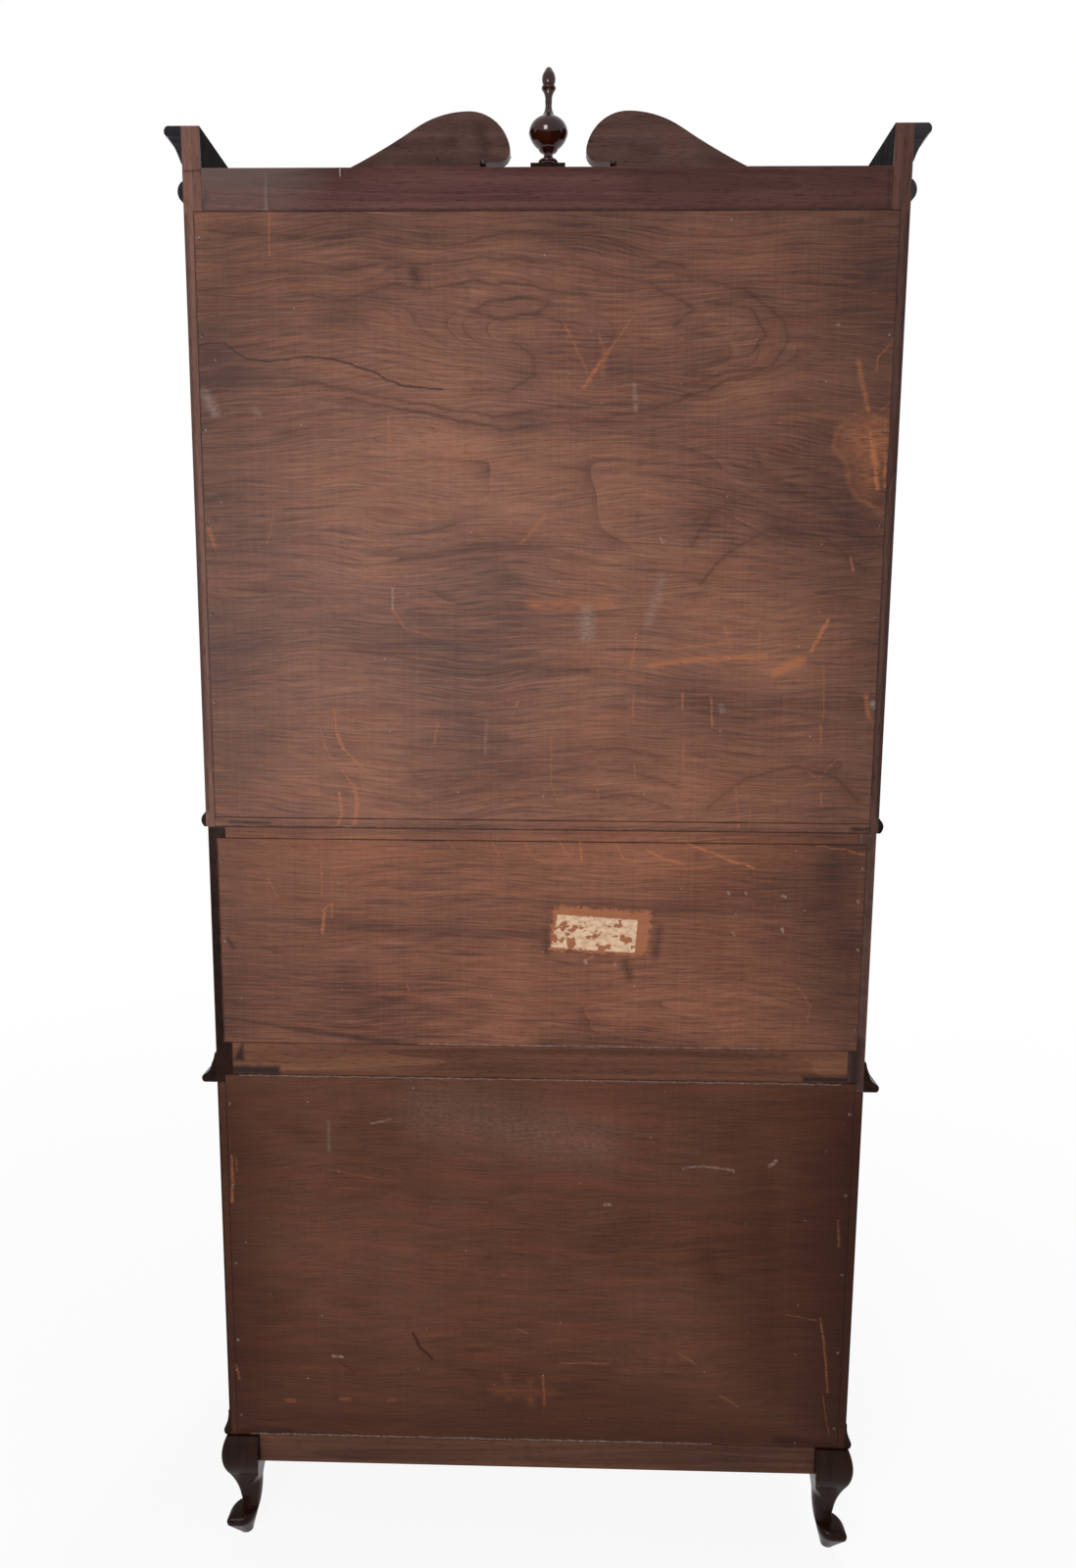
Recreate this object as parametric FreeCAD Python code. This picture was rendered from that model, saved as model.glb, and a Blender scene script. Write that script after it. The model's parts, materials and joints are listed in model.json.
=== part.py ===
import FreeCAD, Part
import math
import os

from FreeCAD import Rotation, Vector

# Bureau bookcase in three stacked sections: a base of drawers on short scrolled cabriole legs,
# a slant-front desk with lopers, and a glazed bookcase with a swan-neck pediment and a finial.
# Millimetres. X runs across, +Y points to the back, +Z up, and the origin is on the floor under
# the middle of the whole object. "depth" is measured forwards from the back face of the case,
# and "out" is measured outwards from a face of the case.

# Case sizes
CASE_WIDTH = 850.0
BOOKCASE_OVERHANG = 2.0       # the bookcase stands out this much past the desk on each side
LOWER_DEPTH = 470.0
BOOKCASE_DEPTH = 262.0
DESK_TOP_LEDGE = 10.0         # desk top that shows in front of the bookcase
LEG_HEIGHT = 160.0
BASE_HEIGHT = 514.0
DESK_HEIGHT = 343.0
BOOKCASE_HEIGHT = 787.0       # up to the top of the top board
SIDE_RISE = 46.0              # sides carried above the top board

# Board thicknesses
SIDE = 22.0
BOARD = 18.0
BACK_PANEL = 6.0
BACK_LIP = 11.0               # edge of a side left beside the rabbet for the back panel
BACK_RAIL = 20.0
TOP_RAIL_HEIGHT = 48.0
DESK_RAIL_HEIGHT = 43.0
DESK_BOTTOM = 12.0
DESK_TOP_SHOW = 14.5          # rear edge of the desk top that shows above its back panel
PANEL_JOINT = 0.5             # gap between one back panel and the next piece
PANEL_LAP = 6.0               # bottom board rabbet that takes the bookcase back panel

# Mouldings: height and how far each stands out
BASE_MOULD_HEIGHT = 36.0
BASE_MOULD_OUT = 8.0
DESK_MOULD_HEIGHT = 40.0
DESK_MOULD_OUT = 20.0
WAIST_HEIGHT = 19.0
WAIST_OUT = 6.0
BEAD_HEIGHT = 23.0
BEAD_OUT = 6.5
BEAD_BELOW_TOP = 15.0         # top of the necking bead below the top board
CORNICE_HEIGHT = 41.0
CORNICE_OUT = 20.0
FRIEZE_DROP = 50.0            # lower edge of the pediment board below the top board

# Legs and aprons
KNEE_OUT = 10.0
LEG_BLOCK = 41.0              # leg top, inwards from the case face
KNEE_DROP = 20.0              # widest part of the knee, below the leg top
KNEE_LENGTH = 54.0            # where the knee turns into the hollow of the leg
ANKLE_HEIGHT = 46.0
TOE_HEIGHT = 36.0
APRON_HEIGHT = 40.0
APRON = 18.0
APRON_PENDANT = 16.0          # drop of the shaped front apron at its middle
APRON_ARCH = 10.0             # rise of the arches beside the pendant

# Pediment and finial
PEDIMENT_BOARD = 18.0
PEAK_X = 110.0                # scroll peak, out from the middle
PEAK_RISE = 133.0             # scroll peak above the cornice
CROWN_RADIUS = 140.0
CROWN_RUN = 75.0              # from the peak out to where the curve turns hollow
HEAD_RADIUS = 58.0
CURL_RADIUS = 17.0
CURL_TURN = 12.0              # degrees above level, where the head turns into its curl
NOTCH_WIDTH = 8.0
NOTCH_HEIGHT = 4.0
SWAN_HEIGHT = 30.0            # cornice moulding along the swan neck
ROSETTE_X = 86.0
ROSETTE_DROP = 44.0
ROSETTE_RADIUS = 22.0
PLINTH_WIDTH = 48.0
PLINTH_HEIGHT = 45.5
PLINTH_DROP = 73.5            # plinth top below the scroll peaks
FINIAL_DOWEL = 5.0
FINIAL_DOWEL_LENGTH = 20.0

# Long drawers
TOP_DRAWER = 125.0            # opening heights, and the bottom drawer takes the rest
MIDDLE_DRAWER = 140.0
RAIL_HEIGHT = 18.0
RAIL_DEPTH = 60.0
RUNNER_WIDTH = 22.0
RAIL_SHOW = 2.0               # bottom rail that shows above the base moulding
DRAWER_GAP = 1.5
DRAWER_FRONT = 20.0
DRAWER_SIDE = 12.0
DRAWER_BOTTOM = 6.0
DRAWER_BACK_CLEAR = 14.0      # room behind a closed drawer
DRAWER_LAP = 8.0              # drawer front left in front of the dovetails
TAIL_PITCH = 32.0
PIN_WIDTH = 7.0               # drawer front between two dovetails, at its narrow end
TAIL_FLARE = 2.5
SIDE_DROP = 10.0              # drawer sides lower than the front
GROOVE = 5.0
GROOVE_UP = 8.0               # drawer bottom above the lower edge of the sides
SLIDE_GAP = 0.5

# Drawer pulls
PULL_X = 235.0                # middle of a pull, out from the middle of the drawer
PULL_SPREAD = 64.0            # between the two posts of a pull
PLATE_WIDTH = 108.0
PLATE_HEIGHT = 62.0
PLATE = 1.5
POST_RADIUS = 4.5
POST_OUT = 14.0
SHANK_RADIUS = 2.5
NUT_RADIUS = 5.5
NUT = 4.0
BAIL_OUT = 9.0
BAIL_RADIUS = 2.6
BAIL_CLEARANCE = 0.05
BAIL_DROP = 32.0
BAIL_BEND = 6.0
BAIL_CORNER = 16.0
BAIL_SHOULDER = 14.0          # bail arm, outside its post
SHANK_CLEARANCE = 0.1

# Desk fittings
FALL = 18.0                   # fall board, and the writing bed that it meets level
FALL_CLEAT = 52.0             # cross-grained ends of the fall
FALL_KNOB_EDGE = 46.0         # fall knobs and escutcheon, from the free edge
FALL_GAP = 0.5
LOPER_WIDTH = 21.0
LOPER_HEIGHT = 28.0
LOPER_LENGTH = 400.0
LOPER_GAP = 0.5
LOPER_GUIDE = 14.0
LOPER_KNOB = 7.0
PIGEON_DEPTH = 205.0
PIGEON_BACK = 2.0             # gap between the pigeonholes and the back panel
SMALL_DRAWER_HEIGHT = 70.0
SMALL_FRONT = 10.0
SMALL_WALL = 6.0
SMALL_KNOB = 7.0
PARTITION = 8.0
PIGEONHOLES = 6
SMALL_DRAWERS = 3
VALANCE_HEIGHT = 30.0
VALANCE_RISE = 16.0
VALANCE = 6.0

# Bookcase fittings
SHELVES = 3
SHELF_FRONT_CLEAR = 30.0      # shelf edge behind the front of the bookcase
SHELF_BACK_CLEAR = 2.0
SHELF_END_CLEAR = 0.5
PIN_RADIUS = 3.0
PIN_IN = 8.0                  # shelf pin inside the case side
PIN_OUT = 10.0                # shelf pin under the shelf
PIN_CLEARANCE = 0.05
PIN_EDGE = 40.0               # shelf pins, from the back panel and the shelf's front edge
DOOR = 20.0
DOOR_GAP = 1.5
STILE = 46.0
DOOR_TOP_RAIL = 46.0
DOOR_BOTTOM_RAIL = 60.0
GLASS = 3.0
GLASS_RABBET = 7.0
GLASS_LAP = 8.0               # rabbet behind the edge of the opening
GLASS_CLEAR = 0.5
GLAZING_BAR = 12.0
GLAZING_BAR_BACK = 3.0        # front of the door to front of the glazing bars
BAR_RISE = 0.62               # points of the glazing pattern, as parts of half a pane
BAR_SHOULDER = 0.27
BAR_REACH = 0.55
KNOB = 10.0

# Hinges
HINGE_LENGTH = 54.0
KNUCKLE = 3.2
HINGE_PIN = 1.5
HINGE_CLEARANCE = 0.05
LEAF = 1.5
LEAF_REACH = 18.0
KNUCKLE_GAP = 0.2
KNUCKLE_ROOM = 0.4
HINGE_INSET = 95.0            # from the end of a door or the fall to the middle of a hinge

# Nails in the back panels
NAIL_HEAD = 2.2
NAIL_HEAD_HEIGHT = 0.6
NAIL_SHANK = 0.9
NAIL_LENGTH = 14.0
NAIL_SPACING = 115.0
NAIL_END = 30.0

# Levels and faces worked out from the sizes above
HALF = CASE_WIDTH / 2
HALF_IN = HALF - SIDE
UPPER = HALF + BOOKCASE_OVERHANG
UPPER_IN = UPPER - SIDE
BACK_Y = (LOWER_DEPTH + DESK_MOULD_OUT - KNEE_OUT) / 2
Z_DESK = LEG_HEIGHT + BASE_HEIGHT
Z_CASE = Z_DESK + DESK_HEIGHT
Z_TOP = Z_CASE + BOOKCASE_HEIGHT
Z_CORNICE = Z_TOP + SIDE_RISE
Z_LOPER = Z_DESK + DESK_MOULD_HEIGHT + RAIL_SHOW
Z_BED_UNDER = Z_LOPER + LOPER_HEIGHT + 2 * LOPER_GAP
Z_BED = Z_BED_UNDER + FALL
Z_DESK_PANEL = Z_DESK + DESK_BOTTOM + DESK_RAIL_HEIGHT
Z_FRIEZE = Z_TOP - FRIEZE_DROP
Z_TOP_RAIL = Z_TOP - TOP_RAIL_HEIGHT
TALL = 2 * Z_CORNICE

# The closed fall leans from the bed's front edge to the front corner of the desk top
DESK_TOP_DEPTH = BOOKCASE_DEPTH + DESK_TOP_LEDGE
FALL_RUN = LOWER_DEPTH - DESK_TOP_DEPTH
FALL_RISE = Z_CASE - Z_BED
FALL_REACH = math.hypot(FALL_RUN, FALL_RISE)
FALL_ANGLE = math.atan2(FALL_RISE, FALL_RUN) - math.asin(FALL / FALL_REACH)
FALL_LENGTH = math.sqrt(FALL_REACH ** 2 - FALL ** 2)

# Scroll curves: a hollow sweep from the cornice corner, a crown, a head and a curl
PEAK_Z = Z_CORNICE + PEAK_RISE
TURN_ANGLE = math.asin(CROWN_RUN / CROWN_RADIUS)
CROWN_CENTRE = (PEAK_X, PEAK_Z - CROWN_RADIUS)
HEAD_CENTRE = (PEAK_X, PEAK_Z - HEAD_RADIUS)
TURN = (PEAK_X + CROWN_RUN, CROWN_CENTRE[1] + CROWN_RADIUS * math.cos(TURN_ANGLE))
SWEEP_RUN = UPPER + CORNICE_OUT - TURN[0]
SWEEP_DROP = TURN[1] - Z_CORNICE
SWEEP_LEAN = SWEEP_RUN * math.sin(TURN_ANGLE) - SWEEP_DROP * math.cos(TURN_ANGLE)
SWEEP_RADIUS = (SWEEP_RUN ** 2 + SWEEP_DROP ** 2) / (2 * SWEEP_LEAN)
SWEEP_CENTRE = (TURN[0] + SWEEP_RADIUS * math.sin(TURN_ANGLE),
                TURN[1] + SWEEP_RADIUS * math.cos(TURN_ANGLE))
PLINTH_TOP = PEAK_Z - PLINTH_DROP
PLINTH_SEAT = PLINTH_TOP - PLINTH_HEIGHT


# Shape helpers
def y_at(depth):
    return BACK_Y - depth


def board(x, depth, z):
    corner = Vector(x[0], y_at(depth[1]), z[0])
    return Part.makeBox(x[1] - x[0], depth[1] - depth[0], z[1] - z[0], corner)


def front_plane(depth):
    return lambda x, z: Vector(x, y_at(depth), z)


def side_plane(x):
    return lambda depth, z: Vector(x, y_at(depth), z)


def floor_plane(z):
    return lambda x, depth: Vector(x, y_at(depth), z)


def outline(plane, points, splined=False):
    """A closed face. A point is (a, b), or ((a, b) on an arc, (a, b) at its end)."""
    edges = []
    at = plane(*points[0])
    for point in points[1:] + points[:1]:
        if isinstance(point[0], tuple):
            end = plane(*point[1])
            arc = Part.Arc(at, plane(*point[0]), end)
            edges.append((arc.toBSpline() if splined else arc).toShape())
        else:
            end = plane(*point)
            if end.distanceToPoint(at) > 1e-6:
                edges.append(Part.LineSegment(at, end).toShape())
        at = end
    return Part.Face(Part.Wire(edges))


def across(plane_points, x0, x1):
    return outline(side_plane(x0), plane_points).extrude(Vector(x1 - x0, 0, 0))


def forwards(plane_points, depth0, depth1):
    return outline(front_plane(depth0), plane_points).extrude(Vector(0, depth0 - depth1, 0))


def upwards(plane_points, z0, z1):
    return outline(floor_plane(z0), plane_points).extrude(Vector(0, 0, z1 - z0))


def arc_to(centre, start, end):
    """The step from start to end round a centre, the short way."""
    radius = math.hypot(start[0] - centre[0], start[1] - centre[1])
    a = start[0] + end[0] - 2 * centre[0]
    b = start[1] + end[1] - 2 * centre[1]
    scale = radius / math.hypot(a, b)
    return ((centre[0] + a * scale, centre[1] + b * scale), end)


def cylinder(radius, start, end):
    direction = end - start
    return Part.makeCylinder(radius, direction.Length, start, direction)


def turned(points, seat, direction):
    """A turned piece from (radius, height) points, standing on its seat along a direction."""
    face = outline(lambda radius, height: Vector(radius, 0, height), points, splined=True)
    solid = face.revolve(Vector(0, 0, 0), Vector(0, 0, 1), 360)
    solid.Placement = FreeCAD.Placement(seat, Rotation(Vector(0, 0, 1), direction))
    return solid


def mirrored(shape):
    return shape.mirror(Vector(0, 0, 0), Vector(1, 0, 0))


def pair(shape):
    return [shape, mirrored(shape)]


def joined(first, *rest):
    return first.fuse(list(rest)).removeSplitter().Solids[0]


def without(shape, *tools):
    return shape.cut(list(tools)).Solids[0]


def moulding(profile, half, front, out):
    """Two side runs and a front run of one (out, z) profile, mitred at the front corners."""
    reach = out + 1
    side = outline(lambda o, z: Vector(half + o, y_at(0), z), profile).extrude(Vector(0, -front - reach, 0))
    corners = [(half, 0), (half + reach, 0), (half + reach, front + reach), (half, front)]
    side = side.common(upwards(corners, 0, TALL)).Solids[0]
    run = outline(lambda o, z: Vector(-half - reach, y_at(front + o), z), profile)
    run = run.extrude(Vector(2 * (half + reach), 0, 0)).common(front_mitre(half, front, reach)).Solids[0]
    return pair(side) + [run]


def front_mitre(half, front, reach):
    corners = [(-half, front), (half, front), (half + reach, front + reach), (-half - reach, front + reach)]
    return upwards(corners, 0, TALL)


# Hinges
def hinge_leaf(knuckles, low, high):
    """A leaf along X from 0, its pin at the origin and its plate towards +Y between low and high."""
    start = KNUCKLE + KNUCKLE_ROOM
    plate = Part.makeBox(HINGE_LENGTH, LEAF_REACH - start, high - low, Vector(0, start, low))
    pieces = []
    for first, last in knuckles:
        pieces.append(Part.makeBox(last - first, start, high - low, Vector(first, 0, low)))
        pieces.append(cylinder(KNUCKLE, Vector(first, 0, 0), Vector(last, 0, 0)))
    bore = cylinder(HINGE_PIN + HINGE_CLEARANCE, Vector(-1, 0, 0), Vector(HINGE_LENGTH + 1, 0, 0))
    return without(joined(plate, *pieces), bore)


def fixed_knuckles():
    third = HINGE_LENGTH / 3
    return [(0, third - KNUCKLE_GAP), (2 * third + KNUCKLE_GAP, HINGE_LENGTH)]


def moving_knuckles():
    third = HINGE_LENGTH / 3
    return [(third, 2 * third)]


def hinge_pin():
    return cylinder(HINGE_PIN, Vector(0, 0, 0), Vector(HINGE_LENGTH, 0, 0))


def leaf_pocket(low, high):
    return Part.makeBox(HINGE_LENGTH, LEAF_REACH, high - low, Vector(0, 0, low))


def knuckle_room():
    room = KNUCKLE + KNUCKLE_ROOM
    return cylinder(room, Vector(-KNUCKLE_ROOM, 0, 0), Vector(HINGE_LENGTH + KNUCKLE_ROOM, 0, 0))


# Right-hand door hinges: the pin stands in front of the gap beside the door
DOOR_BOTTOM_Z = Z_CASE + WAIST_HEIGHT + DOOR_GAP
DOOR_TOP_Z = Z_FRIEZE - DOOR_GAP
DOOR_INNER_X = DOOR_GAP / 2
DOOR_OUTER_X = UPPER_IN - DOOR_GAP
DOOR_PIN_X = UPPER_IN - DOOR_GAP / 2
DOOR_PIN_DEPTH = BOOKCASE_DEPTH + KNUCKLE + KNUCKLE_ROOM
DOOR_HINGE_Z = [DOOR_BOTTOM_Z + HINGE_INSET, (DOOR_BOTTOM_Z + DOOR_TOP_Z) / 2, DOOR_TOP_Z - HINGE_INSET]


def at_door_hinges(make):
    """A hinge piece at each hinge of the right-hand door, its length upright."""
    upright = Rotation(Vector(0, 0, 1), Vector(0, 1, 0), Vector(-1, 0, 0), "XYZ")
    pieces = []
    for z in DOOR_HINGE_Z:
        piece = make()
        seat = Vector(DOOR_PIN_X, y_at(DOOR_PIN_DEPTH), z - HINGE_LENGTH / 2)
        piece.Placement = FreeCAD.Placement(seat, upright)
        pieces.append(piece)
    return pieces


def door_fixed_leaf():
    return hinge_leaf(fixed_knuckles(), -DOOR_GAP / 2 - LEAF, -DOOR_GAP / 2)


def door_moving_leaf():
    return hinge_leaf(moving_knuckles(), DOOR_GAP / 2, DOOR_GAP / 2 + LEAF)


def door_side_pocket():
    return leaf_pocket(-DOOR_GAP / 2 - LEAF, -DOOR_GAP / 2)


def door_stile_pocket():
    return leaf_pocket(DOOR_GAP / 2, DOOR_GAP / 2 + LEAF)


# Fall hinges: the pin lies on the front top edge of the writing bed
FALL_PIN = Vector(0, y_at(LOWER_DEPTH), Z_BED)
FALL_SWING = 180 - math.degrees(FALL_ANGLE)
FALL_HINGE_X = [HINGE_INSET - HALF_IN, 0, HALF_IN - HINGE_INSET]


def at_fall_hinges(make):
    pieces = []
    for x in FALL_HINGE_X:
        piece = make()
        piece.translate(FALL_PIN + Vector(x - HINGE_LENGTH / 2, 0, 0))
        pieces.append(piece)
    return pieces


def bed_leaf():
    return hinge_leaf(fixed_knuckles(), -LEAF, 0)


def bed_pocket():
    return leaf_pocket(-LEAF, 0)


def turned_forward(piece):
    piece.rotate(Vector(HINGE_LENGTH / 2, 0, 0), Vector(0, 0, 1), 180)
    return piece


def fall_leaf():
    return turned_forward(hinge_leaf(moving_knuckles(), -LEAF, 0))


def fall_pocket():
    return turned_forward(leaf_pocket(-LEAF, 0))


def closed(pieces):
    """Pieces of the fall, made level as it lies open, turned up to its closed slant."""
    for piece in pieces:
        piece.rotate(FALL_PIN, Vector(1, 0, 0), -FALL_SWING)
    return pieces


# Base
BASE_RAIL_TOP = LEG_HEIGHT + BASE_MOULD_HEIGHT + RAIL_SHOW
BOTTOM_OPENING_TOP = Z_DESK - TOP_DRAWER - MIDDLE_DRAWER - 3 * RAIL_HEIGHT
DRAWER_OPENINGS = {
    "bottom": (BASE_RAIL_TOP, BOTTOM_OPENING_TOP),
    "middle": (BOTTOM_OPENING_TOP + RAIL_HEIGHT, BOTTOM_OPENING_TOP + RAIL_HEIGHT + MIDDLE_DRAWER),
    "top": (Z_DESK - RAIL_HEIGHT - TOP_DRAWER, Z_DESK - RAIL_HEIGHT),
}
RAIL_LEVELS = [(LEG_HEIGHT + BOARD, BASE_RAIL_TOP)] + [
    (top, top + RAIL_HEIGHT) for bottom, top in DRAWER_OPENINGS.values()]


def back_rabbet(half, z0, z1):
    return board((half - SIDE, half - BACK_LIP), (0, BACK_PANEL), (z0, z1))


def base_sides():
    side = board((HALF_IN, HALF), (0, LOWER_DEPTH), (LEG_HEIGHT, Z_DESK))
    return pair(without(side, back_rabbet(HALF, LEG_HEIGHT, Z_DESK)))


def base_bottom_board():
    return [board((-HALF_IN, HALF_IN), (BACK_PANEL, LOWER_DEPTH), (LEG_HEIGHT, LEG_HEIGHT + BOARD))]


def drawer_rails():
    depth = (LOWER_DEPTH - RAIL_DEPTH, LOWER_DEPTH)
    return [board((-HALF_IN, HALF_IN), depth, level) for level in RAIL_LEVELS]


def drawer_runners():
    runners = []
    for level in RAIL_LEVELS:
        depth = (BACK_PANEL, LOWER_DEPTH - RAIL_DEPTH)
        runners += pair(board((HALF_IN - RUNNER_WIDTH, HALF_IN), depth, level))
    return runners


def base_back_panel():
    half = HALF - BACK_LIP
    z = (LEG_HEIGHT + PANEL_JOINT, Z_DESK + DESK_BOTTOM - PANEL_JOINT)
    return [board((-half, half), (0, BACK_PANEL), z)]


def base_moulding():
    low = LEG_HEIGHT
    nose = LEG_HEIGHT + BASE_MOULD_HEIGHT / 3
    top = LEG_HEIGHT + BASE_MOULD_HEIGHT
    shoulder = BASE_MOULD_OUT / 2
    out = BASE_MOULD_OUT
    profile = [(0, low), (out - 2, low), ((out, (low + nose) / 2), (shoulder + 2, nose)),
               ((shoulder - 2, (nose + top) / 2), (1, top)), (0, top)]
    return moulding(profile, HALF, LOWER_DEPTH, out)


def aprons():
    low = LEG_HEIGHT - APRON_HEIGHT
    end = HALF - LEG_BLOCK
    rear = board((-end, end), (0, APRON), (low, LEG_HEIGHT))
    side = board((HALF - APRON, HALF), (LEG_BLOCK, LOWER_DEPTH - LEG_BLOCK), (low, LEG_HEIGHT))
    lobe = end / 6
    tip = low - APRON_PENDANT
    arch = low + APRON_ARCH
    hollow = low - APRON_PENDANT / 3
    edge = [(-end, LEG_HEIGHT), (-end, low), (-3 * lobe, low), ((-2.3 * lobe, arch), (-1.6 * lobe, low)),
            ((-lobe, hollow), (-lobe / 2, tip)), ((0, tip - APRON_PENDANT / 4), (lobe / 2, tip)),
            ((lobe, hollow), (1.6 * lobe, low)), ((2.3 * lobe, arch), (3 * lobe, low)),
            (end, low), (end, LEG_HEIGHT)]
    return [forwards(edge, LOWER_DEPTH - APRON, LOWER_DEPTH), rear] + pair(side)


def leg_profile():
    """The S of a leg, seen square on: knee, ankle, scrolled toe and pad, outwards from the case."""
    ear = LEG_HEIGHT - APRON_HEIGHT
    knee = LEG_HEIGHT - KNEE_DROP
    below_knee = LEG_HEIGHT - KNEE_LENGTH
    shin = ANKLE_HEIGHT + 10
    hollow = (below_knee + shin) / 2
    calf = (shin + ear) / 2 - 18
    toe = TOE_HEIGHT
    return [(-LEG_BLOCK, LEG_HEIGHT), (4, LEG_HEIGHT), ((KNEE_OUT, knee), (5.5, below_knee)),
            ((-4, hollow), (-8.8, shin)), ((-9.8, ANKLE_HEIGHT), (-8.8, toe + 0.5)), (-2.5, toe),
            ((5.2, toe - 2.5), (7.6, toe - 8)), (7, toe - 12), (-7, 2), (-8, 0), (-23, 0), (-26, 12),
            ((-33, 40), (-36.5, calf)), ((-38.5, (calf + ear) / 2), (-LEG_BLOCK, ear))]


def rear_legs():
    """Each leg is sawn to its S from two faces, and below the aprons it is thinned at its other corners."""
    points = leg_profile()
    span = 2 * (LEG_BLOCK + KNEE_OUT)
    seen_from_back = outline(lambda o, z: Vector(HALF + o, y_at(-span / 2), z), points)
    seen_from_side = outline(lambda o, z: Vector(HALF - span / 2, y_at(-o), z), points)
    leg = seen_from_back.extrude(Vector(0, -span, 0)).common(seen_from_side.extrude(Vector(span, 0, 0)))
    ear = LEG_HEIGHT - APRON_HEIGHT
    toe = TOE_HEIGHT
    half_turn = math.sqrt(0.5)

    def corner(out, across, z):
        return Vector(HALF + (out + across) * half_turn, y_at((across - out) * half_turn), z)

    inner = [(-span, LEG_HEIGHT + 1), (span, LEG_HEIGHT + 1), (span, -1), (-30, -1), (-32.5, 12),
             ((-42.5, 40), (-46.4, 70)), ((-50, 98), (-59, ear)), (-span, ear)]
    flank = [(span, LEG_HEIGHT + 1), (span, ear), (35, ear), ((24, 96), (19.5, 70)),
             ((17.5, ANKLE_HEIGHT), (23, toe)), (23, -1)]
    flank += [(-23, -1), (-23, toe), ((-17.5, ANKLE_HEIGHT), (-19.5, 70)), ((-24, 96), (-35, ear)),
              (-span, ear), (-span, LEG_HEIGHT + 1)]
    along = outline(lambda out, z: corner(out, -span, z), inner)
    across = outline(lambda side, z: corner(-2 * span, side, z), flank)
    leg = leg.common(along.extrude(corner(0, span, 0) - corner(0, -span, 0)))
    leg = leg.common(across.extrude(corner(2 * span, 0, 0) - corner(-2 * span, 0, 0)))
    return pair(leg.Solids[0])


def front_legs():
    middle = Vector(0, y_at(LOWER_DEPTH / 2), 0)
    return [leg.mirror(middle, Vector(0, 1, 0)) for leg in rear_legs()]


# Long drawers and their pulls
def drawer(name):
    low, high = DRAWER_OPENINGS[name]
    half = HALF_IN - DRAWER_GAP
    lap = LOWER_DEPTH - DRAWER_LAP
    inner = LOWER_DEPTH - DRAWER_FRONT
    rear = BACK_PANEL + DRAWER_BACK_CLEAR
    foot = low + SLIDE_GAP
    rim = high - SIDE_DROP
    front = board((-half, half), (inner, LOWER_DEPTH), (low + DRAWER_GAP, high - DRAWER_GAP))
    wall = board((half - DRAWER_SIDE, half), (rear, lap), (foot, rim))
    groove = (foot + GROOVE_UP, foot + GROOVE_UP + DRAWER_BOTTOM)
    reach = half - DRAWER_SIDE + GROOVE
    bottom = board((-reach, reach), (rear, inner + GROOVE), groove)
    back = board((DRAWER_SIDE - half, half - DRAWER_SIDE), (rear, rear + DRAWER_SIDE), (groove[1], rim))
    wall = without(wall, bottom, *dovetail_pins(half, foot, rim))
    front = without(front, wall, mirrored(wall), bottom, *pull_shanks(name, SHANK_CLEARANCE))
    return [front] + pair(wall) + [back, bottom]


def dovetail_pins(half, foot, rim):
    """The parts of a drawer front that stand between the dovetails of a side."""
    inner = LOWER_DEPTH - DRAWER_FRONT
    lap = LOWER_DEPTH - DRAWER_LAP
    tails = max(2, round((rim - foot) / TAIL_PITCH))
    pins = []
    for i in range(tails + 1):
        z = foot + (rim - foot) * i / tails
        narrow = PIN_WIDTH / 2
        wide = narrow + TAIL_FLARE
        points = [(inner, z - wide), (inner, z + wide), (lap, z + narrow), (lap, z - narrow)]
        pins.append(across(points, half - DRAWER_SIDE, half))
    return pins


def pull_centres(name):
    low, high = DRAWER_OPENINGS[name]
    return [Vector(side * PULL_X, y_at(LOWER_DEPTH), (low + high) / 2) for side in (-1, 1)]


def at_pull(shape, centre):
    piece = shape.copy()
    piece.translate(centre)
    return piece


def pull_shank(x, clearance):
    back = DRAWER_FRONT + NUT
    return cylinder(SHANK_RADIUS + clearance, Vector(x, back, 0), Vector(x, -PLATE, 0))


def pull_shanks(name, clearance):
    return [at_pull(pull_shank(side * PULL_SPREAD / 2, clearance), centre)
            for centre in pull_centres(name) for side in (-1, 1)]


def pull_plate():
    """A pierced-wing plate, its middle at the bail's pivots."""
    wide = PLATE_WIDTH / 2
    tall = PLATE_HEIGHT / 2
    waist = PULL_SPREAD / 2
    right = [(0, tall - 4), ((waist / 3, tall), (waist / 2, tall - 6)),
             ((waist - 4, tall - 12), (waist + 4, tall - 8)), ((wide - 4, tall - 8), (wide - 2, 6)),
             ((wide - 6, 0), (wide - 2, -6)), ((wide - 5, -tall + 8), (waist, -tall + 9)),
             ((waist / 2, -tall + 10), (waist / 4, -tall + 3)), (0, -tall)]
    left = [right[-1]]
    for index in range(len(right) - 1, 0, -1):
        step = right[index]
        end = right[index - 1][1] if isinstance(right[index - 1][0], tuple) else right[index - 1]
        end = (-end[0], end[1])
        left.append(((-step[0][0], step[0][1]), end) if isinstance(step[0], tuple) else end)
    face = outline(lambda x, z: Vector(x, 0, z), right + left[1:])
    plate = face.extrude(Vector(0, -PLATE, 0))
    return without(plate, *[pull_shank(side * waist, SHANK_CLEARANCE) for side in (-1, 1)])


def pull_post(x):
    thick = POST_RADIUS
    top = POST_OUT - PLATE
    points = [(0, 0), (thick + 1.5, 0), (thick + 1.5, 1.5), (thick, 3), (thick, top - thick),
              ((thick * 0.76, top - thick * 0.35), (thick * 0.2, top)), (0, top)]
    post = joined(turned(points, Vector(x, -PLATE, 0), Vector(0, -1, 0)), pull_shank(x, 0))
    across_post = Vector(2 * thick, 0, 0)
    pivot = Vector(x, -BAIL_OUT, 0)
    return without(post, cylinder(BAIL_RADIUS + BAIL_CLEARANCE, pivot - across_post, pivot + across_post))


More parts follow.
